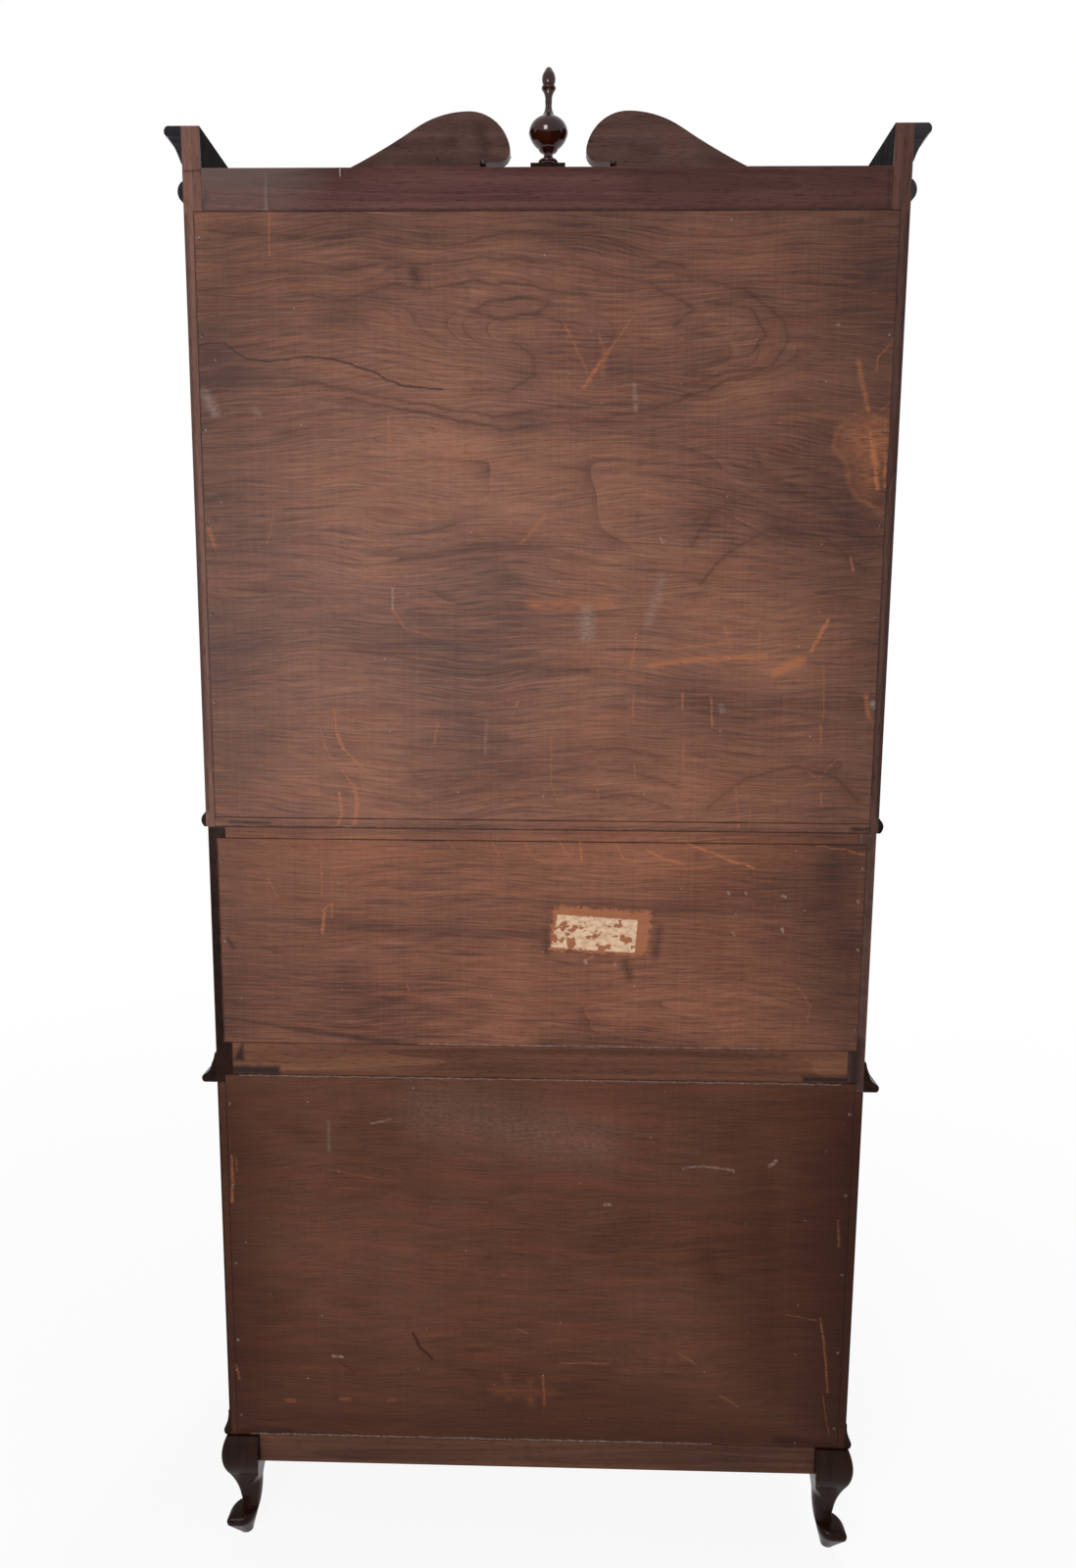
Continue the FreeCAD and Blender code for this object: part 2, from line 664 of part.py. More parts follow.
def pull_nut(x):
    ring = [(NUT_RADIUS * math.cos(math.radians(60 * i)), NUT_RADIUS * math.sin(math.radians(60 * i)))
            for i in range(6)]
    face = outline(lambda a, b: Vector(x + a, DRAWER_FRONT, b), ring)
    return without(face.extrude(Vector(0, NUT, 0)), pull_shank(x, SHANK_CLEARANCE))


def pulls(name):
    pieces = []
    for centre in pull_centres(name):
        pieces.append(at_pull(pull_plate(), centre))
        for side in (-1, 1):
            x = side * PULL_SPREAD / 2
            pieces.append(at_pull(pull_post(x), centre))
            pieces.append(at_pull(pull_nut(x), centre))
    return pieces


def bail():
    """The swinging handle: it passes inwards through both posts and hangs below them."""
    end = PULL_SPREAD / 2 - POST_RADIUS - 1
    arm = PULL_SPREAD / 2 + BAIL_SHOULDER
    bend = BAIL_BEND
    corner = BAIL_CORNER
    cut = 1 - math.sqrt(0.5)

    def spot(x, z):
        return Vector(x, -BAIL_OUT, z)

    edges = []
    for side in (1, -1):
        run = [
            Part.LineSegment(spot(side * end, 0), spot(side * (arm - bend), 0)),
            Part.Arc(spot(side * (arm - bend), 0), spot(side * (arm - bend * cut), -bend * cut),
                     spot(side * arm, -bend)),
            Part.LineSegment(spot(side * arm, -bend), spot(side * arm, corner - BAIL_DROP)),
            Part.Arc(spot(side * arm, corner - BAIL_DROP),
                     spot(side * (arm - corner * cut), corner * cut - BAIL_DROP),
                     spot(side * (arm - corner), -BAIL_DROP)),
        ]
        edges.append([curve.toShape() for curve in run])
    base = Part.LineSegment(spot(arm - corner, -BAIL_DROP), spot(corner - arm, -BAIL_DROP)).toShape()
    path = Part.Wire(edges[0] + [base] + edges[1][::-1])
    ring = Part.Wire(Part.makeCircle(BAIL_RADIUS, spot(end, 0), Vector(1, 0, 0)))
    return path.makePipeShell([ring], True, False)


def bails(name, side):
    centre = pull_centres(name)[0 if side < 0 else 1]
    return [at_pull(bail(), centre)]


# Desk
def on_slant(along, out):
    """A (depth, z) point, along the closed fall from its hinge and outwards from its inner face."""
    depth = LOWER_DEPTH - along * math.cos(FALL_ANGLE) + out * math.sin(FALL_ANGLE)
    return (depth, Z_BED + along * math.sin(FALL_ANGLE) + out * math.cos(FALL_ANGLE))


def desk_sides():
    corner = on_slant(FALL_LENGTH, FALL)
    foot = (LOWER_DEPTH, Z_BED - FALL_GAP / math.tan(FALL_ANGLE))
    top = on_slant(FALL_LENGTH, -FALL_GAP)
    side = across([(0, Z_DESK), (LOWER_DEPTH, Z_DESK), foot, top, corner, (0, Z_CASE)], HALF_IN, HALF)
    return pair(without(side, back_rabbet(HALF, Z_DESK, Z_DESK + DESK_BOTTOM),
                        back_rabbet(HALF, Z_DESK_PANEL, Z_CASE - DESK_TOP_SHOW)))


def desk_bottom_board():
    return [board((-HALF_IN, HALF_IN), (BACK_PANEL, LOWER_DEPTH), (Z_DESK, Z_DESK + DESK_BOTTOM))]


def loper_bay():
    return HALF_IN - LOPER_WIDTH - 2 * LOPER_GAP


def loper_housing():
    low = Z_DESK + DESK_BOTTOM
    rear = BACK_RAIL
    inner = LOWER_DEPTH - BOARD
    rail = board((-HALF_IN, HALF_IN), (inner, LOWER_DEPTH), (low, Z_BED_UNDER))
    bay = board((loper_bay(), HALF_IN), (inner, LOWER_DEPTH), (Z_LOPER, Z_BED_UNDER))
    bearer = board((loper_bay(), HALF_IN), (rear, inner), (low, Z_LOPER))
    guide = board((loper_bay() - LOPER_GUIDE, loper_bay()), (rear, inner), (low, Z_BED_UNDER))
    return [without(rail, bay, mirrored(bay))] + pair(bearer) + pair(guide)


def loper():
    x = (loper_bay() + LOPER_GAP, HALF_IN - LOPER_GAP)
    z = (Z_LOPER + LOPER_GAP / 2, Z_BED_UNDER - LOPER_GAP)
    bar = board(x, (LOWER_DEPTH - LOPER_LENGTH, LOWER_DEPTH), z)
    seat = Vector((x[0] + x[1]) / 2, y_at(LOWER_DEPTH), (z[0] + z[1]) / 2)
    return [bar, turned(knob_profile(LOPER_KNOB), seat, Vector(0, -1, 0))]


def writing_bed():
    bed = board((-HALF_IN, HALF_IN), (BACK_PANEL, LOWER_DEPTH), (Z_BED_UNDER, Z_BED))
    return [without(bed, *at_fall_hinges(bed_pocket), *at_fall_hinges(knuckle_room))]


def desk_top_board():
    inner = on_slant(FALL_LENGTH, -FALL_GAP)
    lap = Z_CASE - DESK_TOP_SHOW
    points = [(BACK_PANEL, Z_CASE - BOARD), (inner[0] - BOARD / 4, Z_CASE - BOARD), inner,
              on_slant(FALL_LENGTH, FALL), (0, Z_CASE), (0, lap), (BACK_PANEL, lap)]
    return [across(points, -HALF_IN, HALF_IN)]


def desk_back_panel():
    half = HALF - BACK_LIP
    z = (Z_DESK_PANEL + PANEL_JOINT, Z_CASE - DESK_TOP_SHOW - PANEL_JOINT)
    return [board((-half, half), (0, BACK_PANEL), z)]


def desk_back_rail():
    return [board((-HALF_IN, HALF_IN), (0, BACK_RAIL), (Z_DESK + DESK_BOTTOM, Z_DESK_PANEL))]


def desk_moulding():
    top = Z_DESK + DESK_MOULD_HEIGHT
    nose = Z_DESK + 10
    out = DESK_MOULD_OUT
    profile = [(0, Z_DESK), (out - 3, Z_DESK), ((out, Z_DESK + 5), (out - 2, nose)),
               ((out / 2, nose + 6), (out / 3, nose + 15)), ((3, nose + 25), (2, top)), (0, top)]
    return moulding(profile, HALF, LOWER_DEPTH, out)


def small_bays():
    width = (2 * HALF_IN - (SMALL_DRAWERS - 1) * PARTITION) / SMALL_DRAWERS
    return [(-HALF_IN + i * (width + PARTITION), -HALF_IN + i * (width + PARTITION) + width)
            for i in range(SMALL_DRAWERS)]


def pigeon_bays():
    width = (2 * HALF_IN - (PIGEONHOLES - 1) * PARTITION) / PIGEONHOLES
    return [(-HALF_IN + i * (width + PARTITION), -HALF_IN + i * (width + PARTITION) + width)
            for i in range(PIGEONHOLES)]


def valance(bay):
    ceiling = Z_CASE - BOARD
    low = ceiling - VALANCE_HEIGHT
    middle = (bay[0] + bay[1]) / 2
    arch = (middle, low + VALANCE_RISE)
    points = [(bay[0], ceiling), (bay[0], low), (arch, (bay[1], low)), (bay[1], ceiling)]
    return forwards(points, PIGEON_DEPTH - VALANCE, PIGEON_DEPTH)


def pigeonholes():
    depth = (BACK_PANEL + PIGEON_BACK, PIGEON_DEPTH)
    shelf_under = Z_BED + SMALL_DRAWER_HEIGHT
    shelf_top = shelf_under + PARTITION
    pieces = [board((-HALF_IN, HALF_IN), depth, (shelf_under, shelf_top))]
    for bay in small_bays()[:-1]:
        pieces.append(board((bay[1], bay[1] + PARTITION), depth, (Z_BED, shelf_under)))
    for bay in pigeon_bays()[:-1]:
        pieces.append(board((bay[1], bay[1] + PARTITION), depth, (shelf_top, Z_CASE - BOARD)))
    return pieces + [valance(bay) for bay in pigeon_bays()]


def small_drawer(index):
    bay = small_bays()[index]
    x = (bay[0] + DRAWER_GAP, bay[1] - DRAWER_GAP)
    rear = BACK_PANEL + PIGEON_BACK + SMALL_WALL
    inner = PIGEON_DEPTH - SMALL_FRONT
    low = Z_BED + SLIDE_GAP
    high = Z_BED + SMALL_DRAWER_HEIGHT - DRAWER_GAP
    rim = high - SMALL_WALL
    floor = low + SMALL_WALL
    front = board(x, (inner, PIGEON_DEPTH), (low, high))
    walls = [board((x[0], x[0] + SMALL_WALL), (rear, inner), (low, rim)),
             board((x[1] - SMALL_WALL, x[1]), (rear, inner), (low, rim))]
    inside = (x[0] + SMALL_WALL, x[1] - SMALL_WALL)
    bottom = board(inside, (rear, inner), (low, floor))
    back = board(inside, (rear, rear + SMALL_WALL), (floor, rim))
    seat = Vector((x[0] + x[1]) / 2, y_at(PIGEON_DEPTH), (low + high) / 2)
    return [front] + walls + [bottom, back, turned(knob_profile(SMALL_KNOB), seat, Vector(0, -1, 0))]


def knob_profile(radius):
    """A turned knob: foot, neck and mushroom head."""
    neck = radius * 0.45
    return [(0, 0), (radius * 0.8, 0), (radius * 0.8, radius * 0.2),
            ((neck, radius * 0.4), (neck, radius * 0.8)),
            (radius * 0.8, radius * 0.95), ((radius, radius * 1.25), (radius * 0.8, radius * 1.6)),
            ((radius * 0.5, radius * 1.77), (radius * 0.15, radius * 1.8)), (0, radius * 1.8)]


# The fall, made level as it lies open and then closed
def fall_board():
    depth = (LOWER_DEPTH + FALL_GAP, LOWER_DEPTH + FALL_LENGTH - FALL_GAP)
    z = (Z_BED - FALL, Z_BED)
    end = HALF - FALL_CLEAT
    panel = without(board((-end, end), depth, z), *at_fall_hinges(fall_pocket), *at_fall_hinges(knuckle_room))
    return closed([panel] + pair(board((end, HALF), depth, z)))


def fall_brass():
    pieces = at_fall_hinges(fall_leaf)
    under = Z_BED - FALL
    far = LOWER_DEPTH + FALL_LENGTH - FALL_KNOB_EDGE
    for x in (-PULL_X, PULL_X):
        pieces.append(turned(knob_profile(KNOB), Vector(x, y_at(far), under), Vector(0, 0, -1)))
    shield = [(-8, far - 12), (8, far - 12), ((11, far), (7, far + 10)), ((0, far + 15), (-7, far + 10)),
              ((-11, far), (-8, far - 12))]
    pieces.append(upwards(shield, under - PLATE, under))
    return closed(pieces)


# Bookcase
def bookcase_sides():
    side = board((UPPER_IN, UPPER), (0, BOOKCASE_DEPTH), (Z_CASE, Z_CORNICE))
    bores = [shelf_pin(depth, z, PIN_CLEARANCE) for z in shelf_levels() for depth in pin_depths()]
    side = without(side, back_rabbet(UPPER, Z_CASE, Z_TOP_RAIL), *at_door_hinges(door_side_pocket), *bores)
    return pair(side)


def bookcase_bottom_board():
    base = board((-UPPER_IN, UPPER_IN), (0, BOOKCASE_DEPTH), (Z_CASE, Z_CASE + BOARD))
    lap = board((-UPPER, UPPER), (0, BACK_PANEL), (Z_CASE + BOARD - PANEL_LAP, Z_CASE + BOARD))
    lip = board((BACK_LIP - UPPER, UPPER - BACK_LIP), (0, BACK_PANEL), (Z_CASE, Z_CASE + BOARD - PANEL_LAP))
    return [joined(without(base, lap), lip)]


def bookcase_top_board():
    depth = (BACK_RAIL, BOOKCASE_DEPTH - PEDIMENT_BOARD)
    return [board((-UPPER_IN, UPPER_IN), depth, (Z_TOP - BOARD, Z_TOP))]


def bookcase_back_panel():
    half = UPPER - BACK_LIP
    z = (Z_CASE + BOARD - PANEL_LAP + PANEL_JOINT, Z_TOP_RAIL - PANEL_JOINT)
    return [board((-half, half), (0, BACK_PANEL), z)]


def bookcase_top_rail():
    return [board((-UPPER_IN, UPPER_IN), (0, BACK_RAIL), (Z_TOP_RAIL, Z_TOP))]


def shelf_levels():
    """Undersides of the shelves, evenly spaced between the bottom and top boards."""
    floor = Z_CASE + BOARD
    pitch = (Z_TOP - floor) / (SHELVES + 1)
    return [floor + pitch * (i + 1) - BOARD for i in range(SHELVES)]


def shelf_front():
    return BOOKCASE_DEPTH - SHELF_FRONT_CLEAR


def pin_depths():
    return (BACK_PANEL + PIN_EDGE, shelf_front() - PIN_EDGE)


def shelf_pin(depth, z, clearance):
    inner = Vector(UPPER_IN - PIN_OUT, y_at(depth), z - PIN_RADIUS)
    outer = Vector(UPPER_IN + PIN_IN, y_at(depth), z - PIN_RADIUS)
    return cylinder(PIN_RADIUS + clearance, inner, outer)


def bookcase_shelves():
    half = UPPER_IN - SHELF_END_CLEAR
    depth = (BACK_PANEL + SHELF_BACK_CLEAR, shelf_front())
    return [board((-half, half), depth, (z, z + BOARD)) for z in shelf_levels()]


def shelf_pins():
    pins = []
    for z in shelf_levels():
        for depth in pin_depths():
            pins += pair(shelf_pin(depth, z, 0))
    return pins


def waist_moulding():
    top = Z_CASE + WAIST_HEIGHT
    nose = (WAIST_OUT, Z_CASE + WAIST_HEIGHT / 2)
    profile = [(0, Z_CASE), (2, Z_CASE), (nose, (2, top - 2)), (1, top), (0, top)]
    return moulding(profile, UPPER, BOOKCASE_DEPTH, WAIST_OUT)


def necking_bead():
    top = Z_TOP - BEAD_BELOW_TOP
    low = top - BEAD_HEIGHT
    profile = [(0, low), (1, low), ((BEAD_OUT, (low + top) / 2), (1, top)), (0, top)]
    return moulding(profile, UPPER, BOOKCASE_DEPTH, BEAD_OUT)


def cornice_profile(height):
    """(out, drop) points of the cornice, downwards from its top edge."""
    out = CORNICE_OUT
    return [(0, 0), (out - 4, 0), ((out, 5), (out - 1, 10)), (out - 4, 12),
            ((out / 2, height / 2), (4, height - 8)), (1, height), (0, height)]


def cornice():
    """Plain returns along the sides, and a moulding that follows each swan neck on the front."""
    returns = [((step[0][0], Z_CORNICE - step[0][1]), (step[1][0], Z_CORNICE - step[1][1]))
               if isinstance(step[0], tuple) else (step[0], Z_CORNICE - step[1])
               for step in cornice_profile(CORNICE_HEIGHT)]
    sides = moulding(returns, UPPER, BOOKCASE_DEPTH, CORNICE_OUT)[:2]
    lean = Vector(-math.sin(TURN_ANGLE), 0, -math.cos(TURN_ANGLE))
    corner_angle = math.asin((SWEEP_CENTRE[0] - UPPER - CORNICE_OUT) / SWEEP_RADIUS)
    past_corner = 1.5 * CORNICE_OUT / SWEEP_RADIUS
    sweep = math.degrees(TURN_ANGLE - corner_angle + past_corner)
    turn_face = neck_section(TURN, lean)
    peak_face = neck_section((PEAK_X, PEAK_Z), Vector(0, 0, -1))
    crown = math.degrees(TURN_ANGLE)
    neck = joined(neck_arc(turn_face, SWEEP_CENTRE, sweep), neck_arc(turn_face, CROWN_CENTRE, crown),
                  neck_arc(peak_face, HEAD_CENTRE, 90 - CURL_TURN))
    neck = neck.common(front_mitre(UPPER, BOOKCASE_DEPTH, CORNICE_OUT + 1)).Solids[0]
    disc = cylinder(ROSETTE_RADIUS, rosette_seat(), rosette_seat() + Vector(0, -2 * CORNICE_OUT, 0))
    return sides + pair(without(neck, disc))


def neck_section(point, lean):
    start = Vector(point[0], y_at(BOOKCASE_DEPTH), point[1])
    return outline(lambda o, drop: start + lean * drop + Vector(0, -o, 0), cornice_profile(SWAN_HEIGHT))


def neck_arc(face, centre, angle):
    return face.revolve(Vector(centre[0], 0, centre[1]), Vector(0, 1, 0), -angle)


def rosette_seat():
    return Vector(ROSETTE_X, y_at(BOOKCASE_DEPTH), PEAK_Z - ROSETTE_DROP)


def rosettes():
    r = ROSETTE_RADIUS
    points = [(0, 0), (r, 0), (r, 8), ((r - 2, 11), (r - 5, 11)), ((r - 9, 8), (r - 12, 10)),
              ((5, 15.5), (1, 17)), (0, 17)]
    return pair(turned(points, rosette_seat(), Vector(0, -1, 0)))


def sweep_height(x):
    return SWEEP_CENTRE[1] - math.sqrt(SWEEP_RADIUS ** 2 - (x - SWEEP_CENTRE[0]) ** 2)


def head_point(radius):
    """A point of the scroll head, out from its middle towards where the curl starts."""
    turn = math.radians(CURL_TURN)
    return (HEAD_CENTRE[0] - radius * math.cos(turn), HEAD_CENTRE[1] + radius * math.sin(turn))


def pediment_board():
    shoulder = (UPPER_IN, sweep_height(UPPER_IN))
    peak = (PEAK_X, PEAK_Z)
    cheek = head_point(HEAD_RADIUS)
    curl_centre = head_point(HEAD_RADIUS - CURL_RADIUS)
    chin = (curl_centre[0], curl_centre[1] - CURL_RADIUS)
    notch = chin[0] + CURL_RADIUS
    throat = (notch + NOTCH_WIDTH, chin[1] - CURL_RADIUS)
    seat_end = (PLINTH_WIDTH / 2 + CURL_RADIUS, PLINTH_SEAT)
    half = [(0, Z_FRIEZE), (UPPER_IN, Z_FRIEZE), shoulder, arc_to(SWEEP_CENTRE, shoulder, TURN),
            arc_to(CROWN_CENTRE, TURN, peak), arc_to(HEAD_CENTRE, peak, cheek),
            arc_to(curl_centre, cheek, chin), (notch, chin[1]),
            ((notch + NOTCH_WIDTH / 2, chin[1] + NOTCH_HEIGHT), (notch + NOTCH_WIDTH, chin[1])),
            throat, ((throat[0] - 6, seat_end[1] + 12), seat_end), (0, PLINTH_SEAT)]
    right = forwards(half, BOOKCASE_DEPTH - PEDIMENT_BOARD, BOOKCASE_DEPTH)
    return [joined(right, mirrored(right))]


def finial_axis(z):
    return Vector(0, y_at(BOOKCASE_DEPTH - PEDIMENT_BOARD / 2), z)


def finial_plinth():
    half = PLINTH_WIDTH / 2
    middle = BOOKCASE_DEPTH - PEDIMENT_BOARD / 2
    block = board((-half, half), (middle - half, middle + half), (PLINTH_SEAT, PLINTH_TOP))
    return [without(block, finial_dowel(PIN_CLEARANCE))]


def finial_dowel(clearance):
    low = finial_axis(PLINTH_TOP - FINIAL_DOWEL_LENGTH)
    return cylinder(FINIAL_DOWEL + clearance, low, finial_axis(PLINTH_TOP))


def finial():
    """Turned foot, collar, flattened ball, slender neck and acorn tip."""
    points = [(0, 0), (16, 0), (16, 3.5), ((13.5, 5.5), (12.6, 8)), ((14, 10), (13, 12)),
              ((8.2, 14), (6.6, 18)), (6, 22), (11.8, 25), (13.1, 26.5), (12.8, 28.8),
              ((22, 37), (27.2, 48)), ((22.5, 60.5), (12.5, 67)), ((6.2, 76), (4.9, 89)),
              ((6, 99), (9.8, 105.5)), (9.8, 107.5), (7, 110), ((9.4, 119), (6, 128)),
              ((3, 132.5), (0.6, 134)), (0, 134)]
    return [joined(turned(points, finial_axis(PLINTH_TOP), Vector(0, 0, 1)), finial_dowel(0))]


# Doors, made for the right-hand side and mirrored for the left
def door_depth():
    return (BOOKCASE_DEPTH - DOOR, BOOKCASE_DEPTH)


def pane():
    """The clear opening of a door: x and z ranges inside its stiles and rails."""
    return ((DOOR_INNER_X + STILE, DOOR_OUTER_X - STILE),
            (DOOR_BOTTOM_Z + DOOR_BOTTOM_RAIL, DOOR_TOP_Z - DOOR_TOP_RAIL))


def glass_box(clear, thickness):
    x, z = pane()
    lap = GLASS_LAP - clear
    front = BOOKCASE_DEPTH - DOOR + GLASS_RABBET
    return board((x[0] - lap, x[1] + lap), (front - thickness, front), (z[0] - lap, z[1] + lap))


def glazing_bar(start, end):
    run = math.hypot(end[0] - start[0], end[1] - start[1])
    a = (end[1] - start[1]) / run * GLAZING_BAR / 2
    b = (start[0] - end[0]) / run * GLAZING_BAR / 2
    corners = [(start[0] + a, start[1] + b), (end[0] + a, end[1] + b), (end[0] - a, end[1] - b),
               (start[0] - a, start[1] - b)]
    back = BOOKCASE_DEPTH - DOOR + GLASS_RABBET
    return forwards(corners, back, BOOKCASE_DEPTH - GLAZING_BAR_BACK)


def glazing_bars():
    """A long hexagon in the middle of the pane, tied to the frame by short bars."""
    x, z = pane()
    middle = ((x[0] + x[1]) / 2, (z[0] + z[1]) / 2)
    half = ((x[1] - x[0]) / 2, (z[1] - z[0]) / 2)

    def spot(a, b):
        return (middle[0] + a * half[0], middle[1] + b * half[1])

    bars = []
    for v in (-1, 1):
        bars.append((spot(0, v * BAR_RISE), spot(0, v)))
        for u in (-1, 1):
            shoulder = spot(u * BAR_REACH, v * BAR_SHOULDER)
            bars.append((spot(0, v * BAR_RISE), shoulder))
            bars.append((shoulder, spot(u, v * BAR_SHOULDER)))
    for u in (-1, 1):
        bars.append((spot(u * BAR_REACH, -BAR_SHOULDER), spot(u * BAR_REACH, BAR_SHOULDER)))
    back = BOOKCASE_DEPTH - DOOR + GLASS_RABBET
    front = BOOKCASE_DEPTH - GLAZING_BAR_BACK
    bosses = [cylinder(GLAZING_BAR / 2, Vector(c[0], y_at(back), c[1]), Vector(c[0], y_at(front), c[1]))
              for u in (-1, 1) for v in (-1, 1) for c in [spot(u * BAR_REACH, v * BAR_SHOULDER)]]
    lattice = joined(*[glazing_bar(*bar) for bar in bars], *bosses)
    return lattice.common(board(x, (back, front), z)).Solids[0]


def door_frame():
    x = (DOOR_INNER_X, DOOR_OUTER_X)
    clear_x, clear_z = pane()
    z = (DOOR_BOTTOM_Z, DOOR_TOP_Z)
    rabbet = glass_box(0, GLASS_RABBET)
    meeting = board((x[0], clear_x[0]), door_depth(), z)
    hanging = without(board((clear_x[1], x[1]), door_depth(), z), *at_door_hinges(door_stile_pocket))
    rails = [board(clear_x, door_depth(), (z[0], clear_z[0])),
             board(clear_x, door_depth(), (clear_z[1], z[1]))]
    return [without(piece, rabbet) for piece in [meeting, hanging] + rails] + [glazing_bars()]


def door_glass():
    return [glass_box(GLASS_CLEAR, GLASS)]


def door_brass():
    knob_at = Vector(DOOR_INNER_X + STILE / 2, y_at(BOOKCASE_DEPTH), (DOOR_BOTTOM_Z + DOOR_TOP_Z) / 2)
    return at_door_hinges(door_moving_leaf) + [turned(knob_profile(KNOB), knob_at, Vector(0, -1, 0))]


def on_left(pieces):
    return [mirrored(piece) for piece in pieces]


def fixed_hinge_leaves():
    leaves = at_door_hinges(door_fixed_leaf)
    return leaves + on_left(leaves) + at_fall_hinges(bed_leaf)


def hinge_pins():
    pins = at_door_hinges(hinge_pin)
    return pins + on_left(pins) + at_fall_hinges(hinge_pin)


# Nails along both edges of each back panel
def nail(x, z):
    head = cylinder(NAIL_HEAD, Vector(x, y_at(0), z), Vector(x, y_at(-NAIL_HEAD_HEIGHT), z))
    shank = cylinder(NAIL_SHANK, Vector(x, y_at(NAIL_LENGTH), z), Vector(x, y_at(0), z))
    return joined(head, shank)


def back_panel_nails():
    nails = []
    panels = [(HALF, LEG_HEIGHT, Z_DESK), (HALF, Z_DESK_PANEL, Z_CASE - DESK_TOP_SHOW),
              (UPPER, Z_CASE + BOARD, Z_TOP_RAIL)]
    for half, low, high in panels:
        span = high - low - 2 * NAIL_END
        count = max(2, round(span / NAIL_SPACING) + 1)
        for i in range(count):
            z = low + NAIL_END + span * i / (count - 1)
            nails += pair(nail(half - (SIDE + BACK_LIP) / 2, z))
    return nails


def all_nodes():
    right_door = {"frame": door_frame(), "glass": door_glass(), "brass": door_brass()}
    right_loper = loper()
    nodes = {
        "base_sides": base_sides(),
        "base_bottom_board": base_bottom_board(),
        "drawer_rails": drawer_rails(),
        "drawer_runners": drawer_runners(),
        "base_back_panel": base_back_panel(),
        "base_moulding": base_moulding(),
        "aprons": aprons(),
        "front_legs": front_legs(),
        "rear_legs": rear_legs(),
        "desk_sides": desk_sides(),
        "desk_bottom_board": desk_bottom_board(),
        "loper_housing": loper_housing(),
        "writing_bed": writing_bed(),
        "desk_top_board": desk_top_board(),
        "desk_back_panel": desk_back_panel(),
        "desk_back_rail": desk_back_rail(),
        "desk_moulding": desk_moulding(),
        "pigeonholes": pigeonholes(),
        "bookcase_sides": bookcase_sides(),
        "bookcase_bottom_board": bookcase_bottom_board(),
        "bookcase_top_board": bookcase_top_board(),
        "bookcase_back_panel": bookcase_back_panel(),
        "bookcase_top_rail": bookcase_top_rail(),
        "bookcase_shelves": bookcase_shelves(),
        "shelf_pins": shelf_pins(),
        "pediment_board": pediment_board(),
        "cornice": cornice(),
        "rosettes": rosettes(),
        "finial_plinth": finial_plinth(),
        "finial": finial(),
        "necking_bead": necking_bead(),
        "waist_moulding": waist_moulding(),
        "fixed_hinge_leaves": fixed_hinge_leaves(),
        "hinge_pins": hinge_pins(),
        "back_panel_nails": back_panel_nails(),
        "fall_board": fall_board(),
        "fall_brass": fall_brass(),
        "loper_right": right_loper,
        "loper_left": on_left(right_loper),
    }
    for piece, solids in right_door.items():
        nodes["door_right_" + piece] = solids
        nodes["door_left_" + piece] = on_left(solids)
    for name in DRAWER_OPENINGS:
        nodes["drawer_" + name] = drawer(name)
        nodes["drawer_" + name + "_pulls"] = pulls(name)
        nodes["drawer_" + name + "_bail_left"] = bails(name, -1)
        nodes["drawer_" + name + "_bail_right"] = bails(name, 1)
    for index, place in enumerate(("left", "middle", "right")):
        nodes["small_drawer_" + place] = small_drawer(index)
    return nodes


os.makedirs("parts", exist_ok=True)
for node, solids in all_nodes().items():
    Part.makeCompound(solids).exportStep("parts/" + node + ".step")
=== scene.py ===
"""Bureau bookcase: its boards, plywood backs, brasses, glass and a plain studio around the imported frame."""
import json
import math
import random

import bmesh
import bpy
from mathutils import Matrix, Vector, noise


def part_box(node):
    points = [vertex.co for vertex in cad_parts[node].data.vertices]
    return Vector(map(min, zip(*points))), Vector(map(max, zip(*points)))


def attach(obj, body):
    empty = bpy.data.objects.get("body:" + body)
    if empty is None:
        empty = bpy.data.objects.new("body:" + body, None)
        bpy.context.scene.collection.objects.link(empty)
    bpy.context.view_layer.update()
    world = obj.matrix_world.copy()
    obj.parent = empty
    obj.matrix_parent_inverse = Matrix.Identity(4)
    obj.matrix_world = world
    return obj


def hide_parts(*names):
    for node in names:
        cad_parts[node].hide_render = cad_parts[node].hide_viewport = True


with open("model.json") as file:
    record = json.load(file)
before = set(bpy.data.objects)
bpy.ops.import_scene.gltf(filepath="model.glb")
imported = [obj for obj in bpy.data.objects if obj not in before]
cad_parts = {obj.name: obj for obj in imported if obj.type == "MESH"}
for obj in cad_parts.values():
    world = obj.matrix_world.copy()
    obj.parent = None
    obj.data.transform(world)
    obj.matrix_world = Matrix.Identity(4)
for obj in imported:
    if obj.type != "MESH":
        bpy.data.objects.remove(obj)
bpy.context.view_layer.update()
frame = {"nodes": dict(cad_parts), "record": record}

bl_info = {
    "name": "Bureau bookcase",
    "version": (1, 0, 0),
    "blender": (4, 5, 0),
    "location": "View3D > Sidebar > Bureau",
    "description": "Dresses the packed bureau bookcase with its boards, backs, brasses and glass",
    "category": "Object",
}

MM = 0.001
RECORD = frame["record"]
BODY_OF = {node: body for body, nodes in RECORD["behaviour"]["bodies"].items() for node in nodes}
DRAWERS = ("bottom", "middle", "top")
SIDES = ("left", "right")
SMALL_DRAWERS = ("left", "middle", "right")

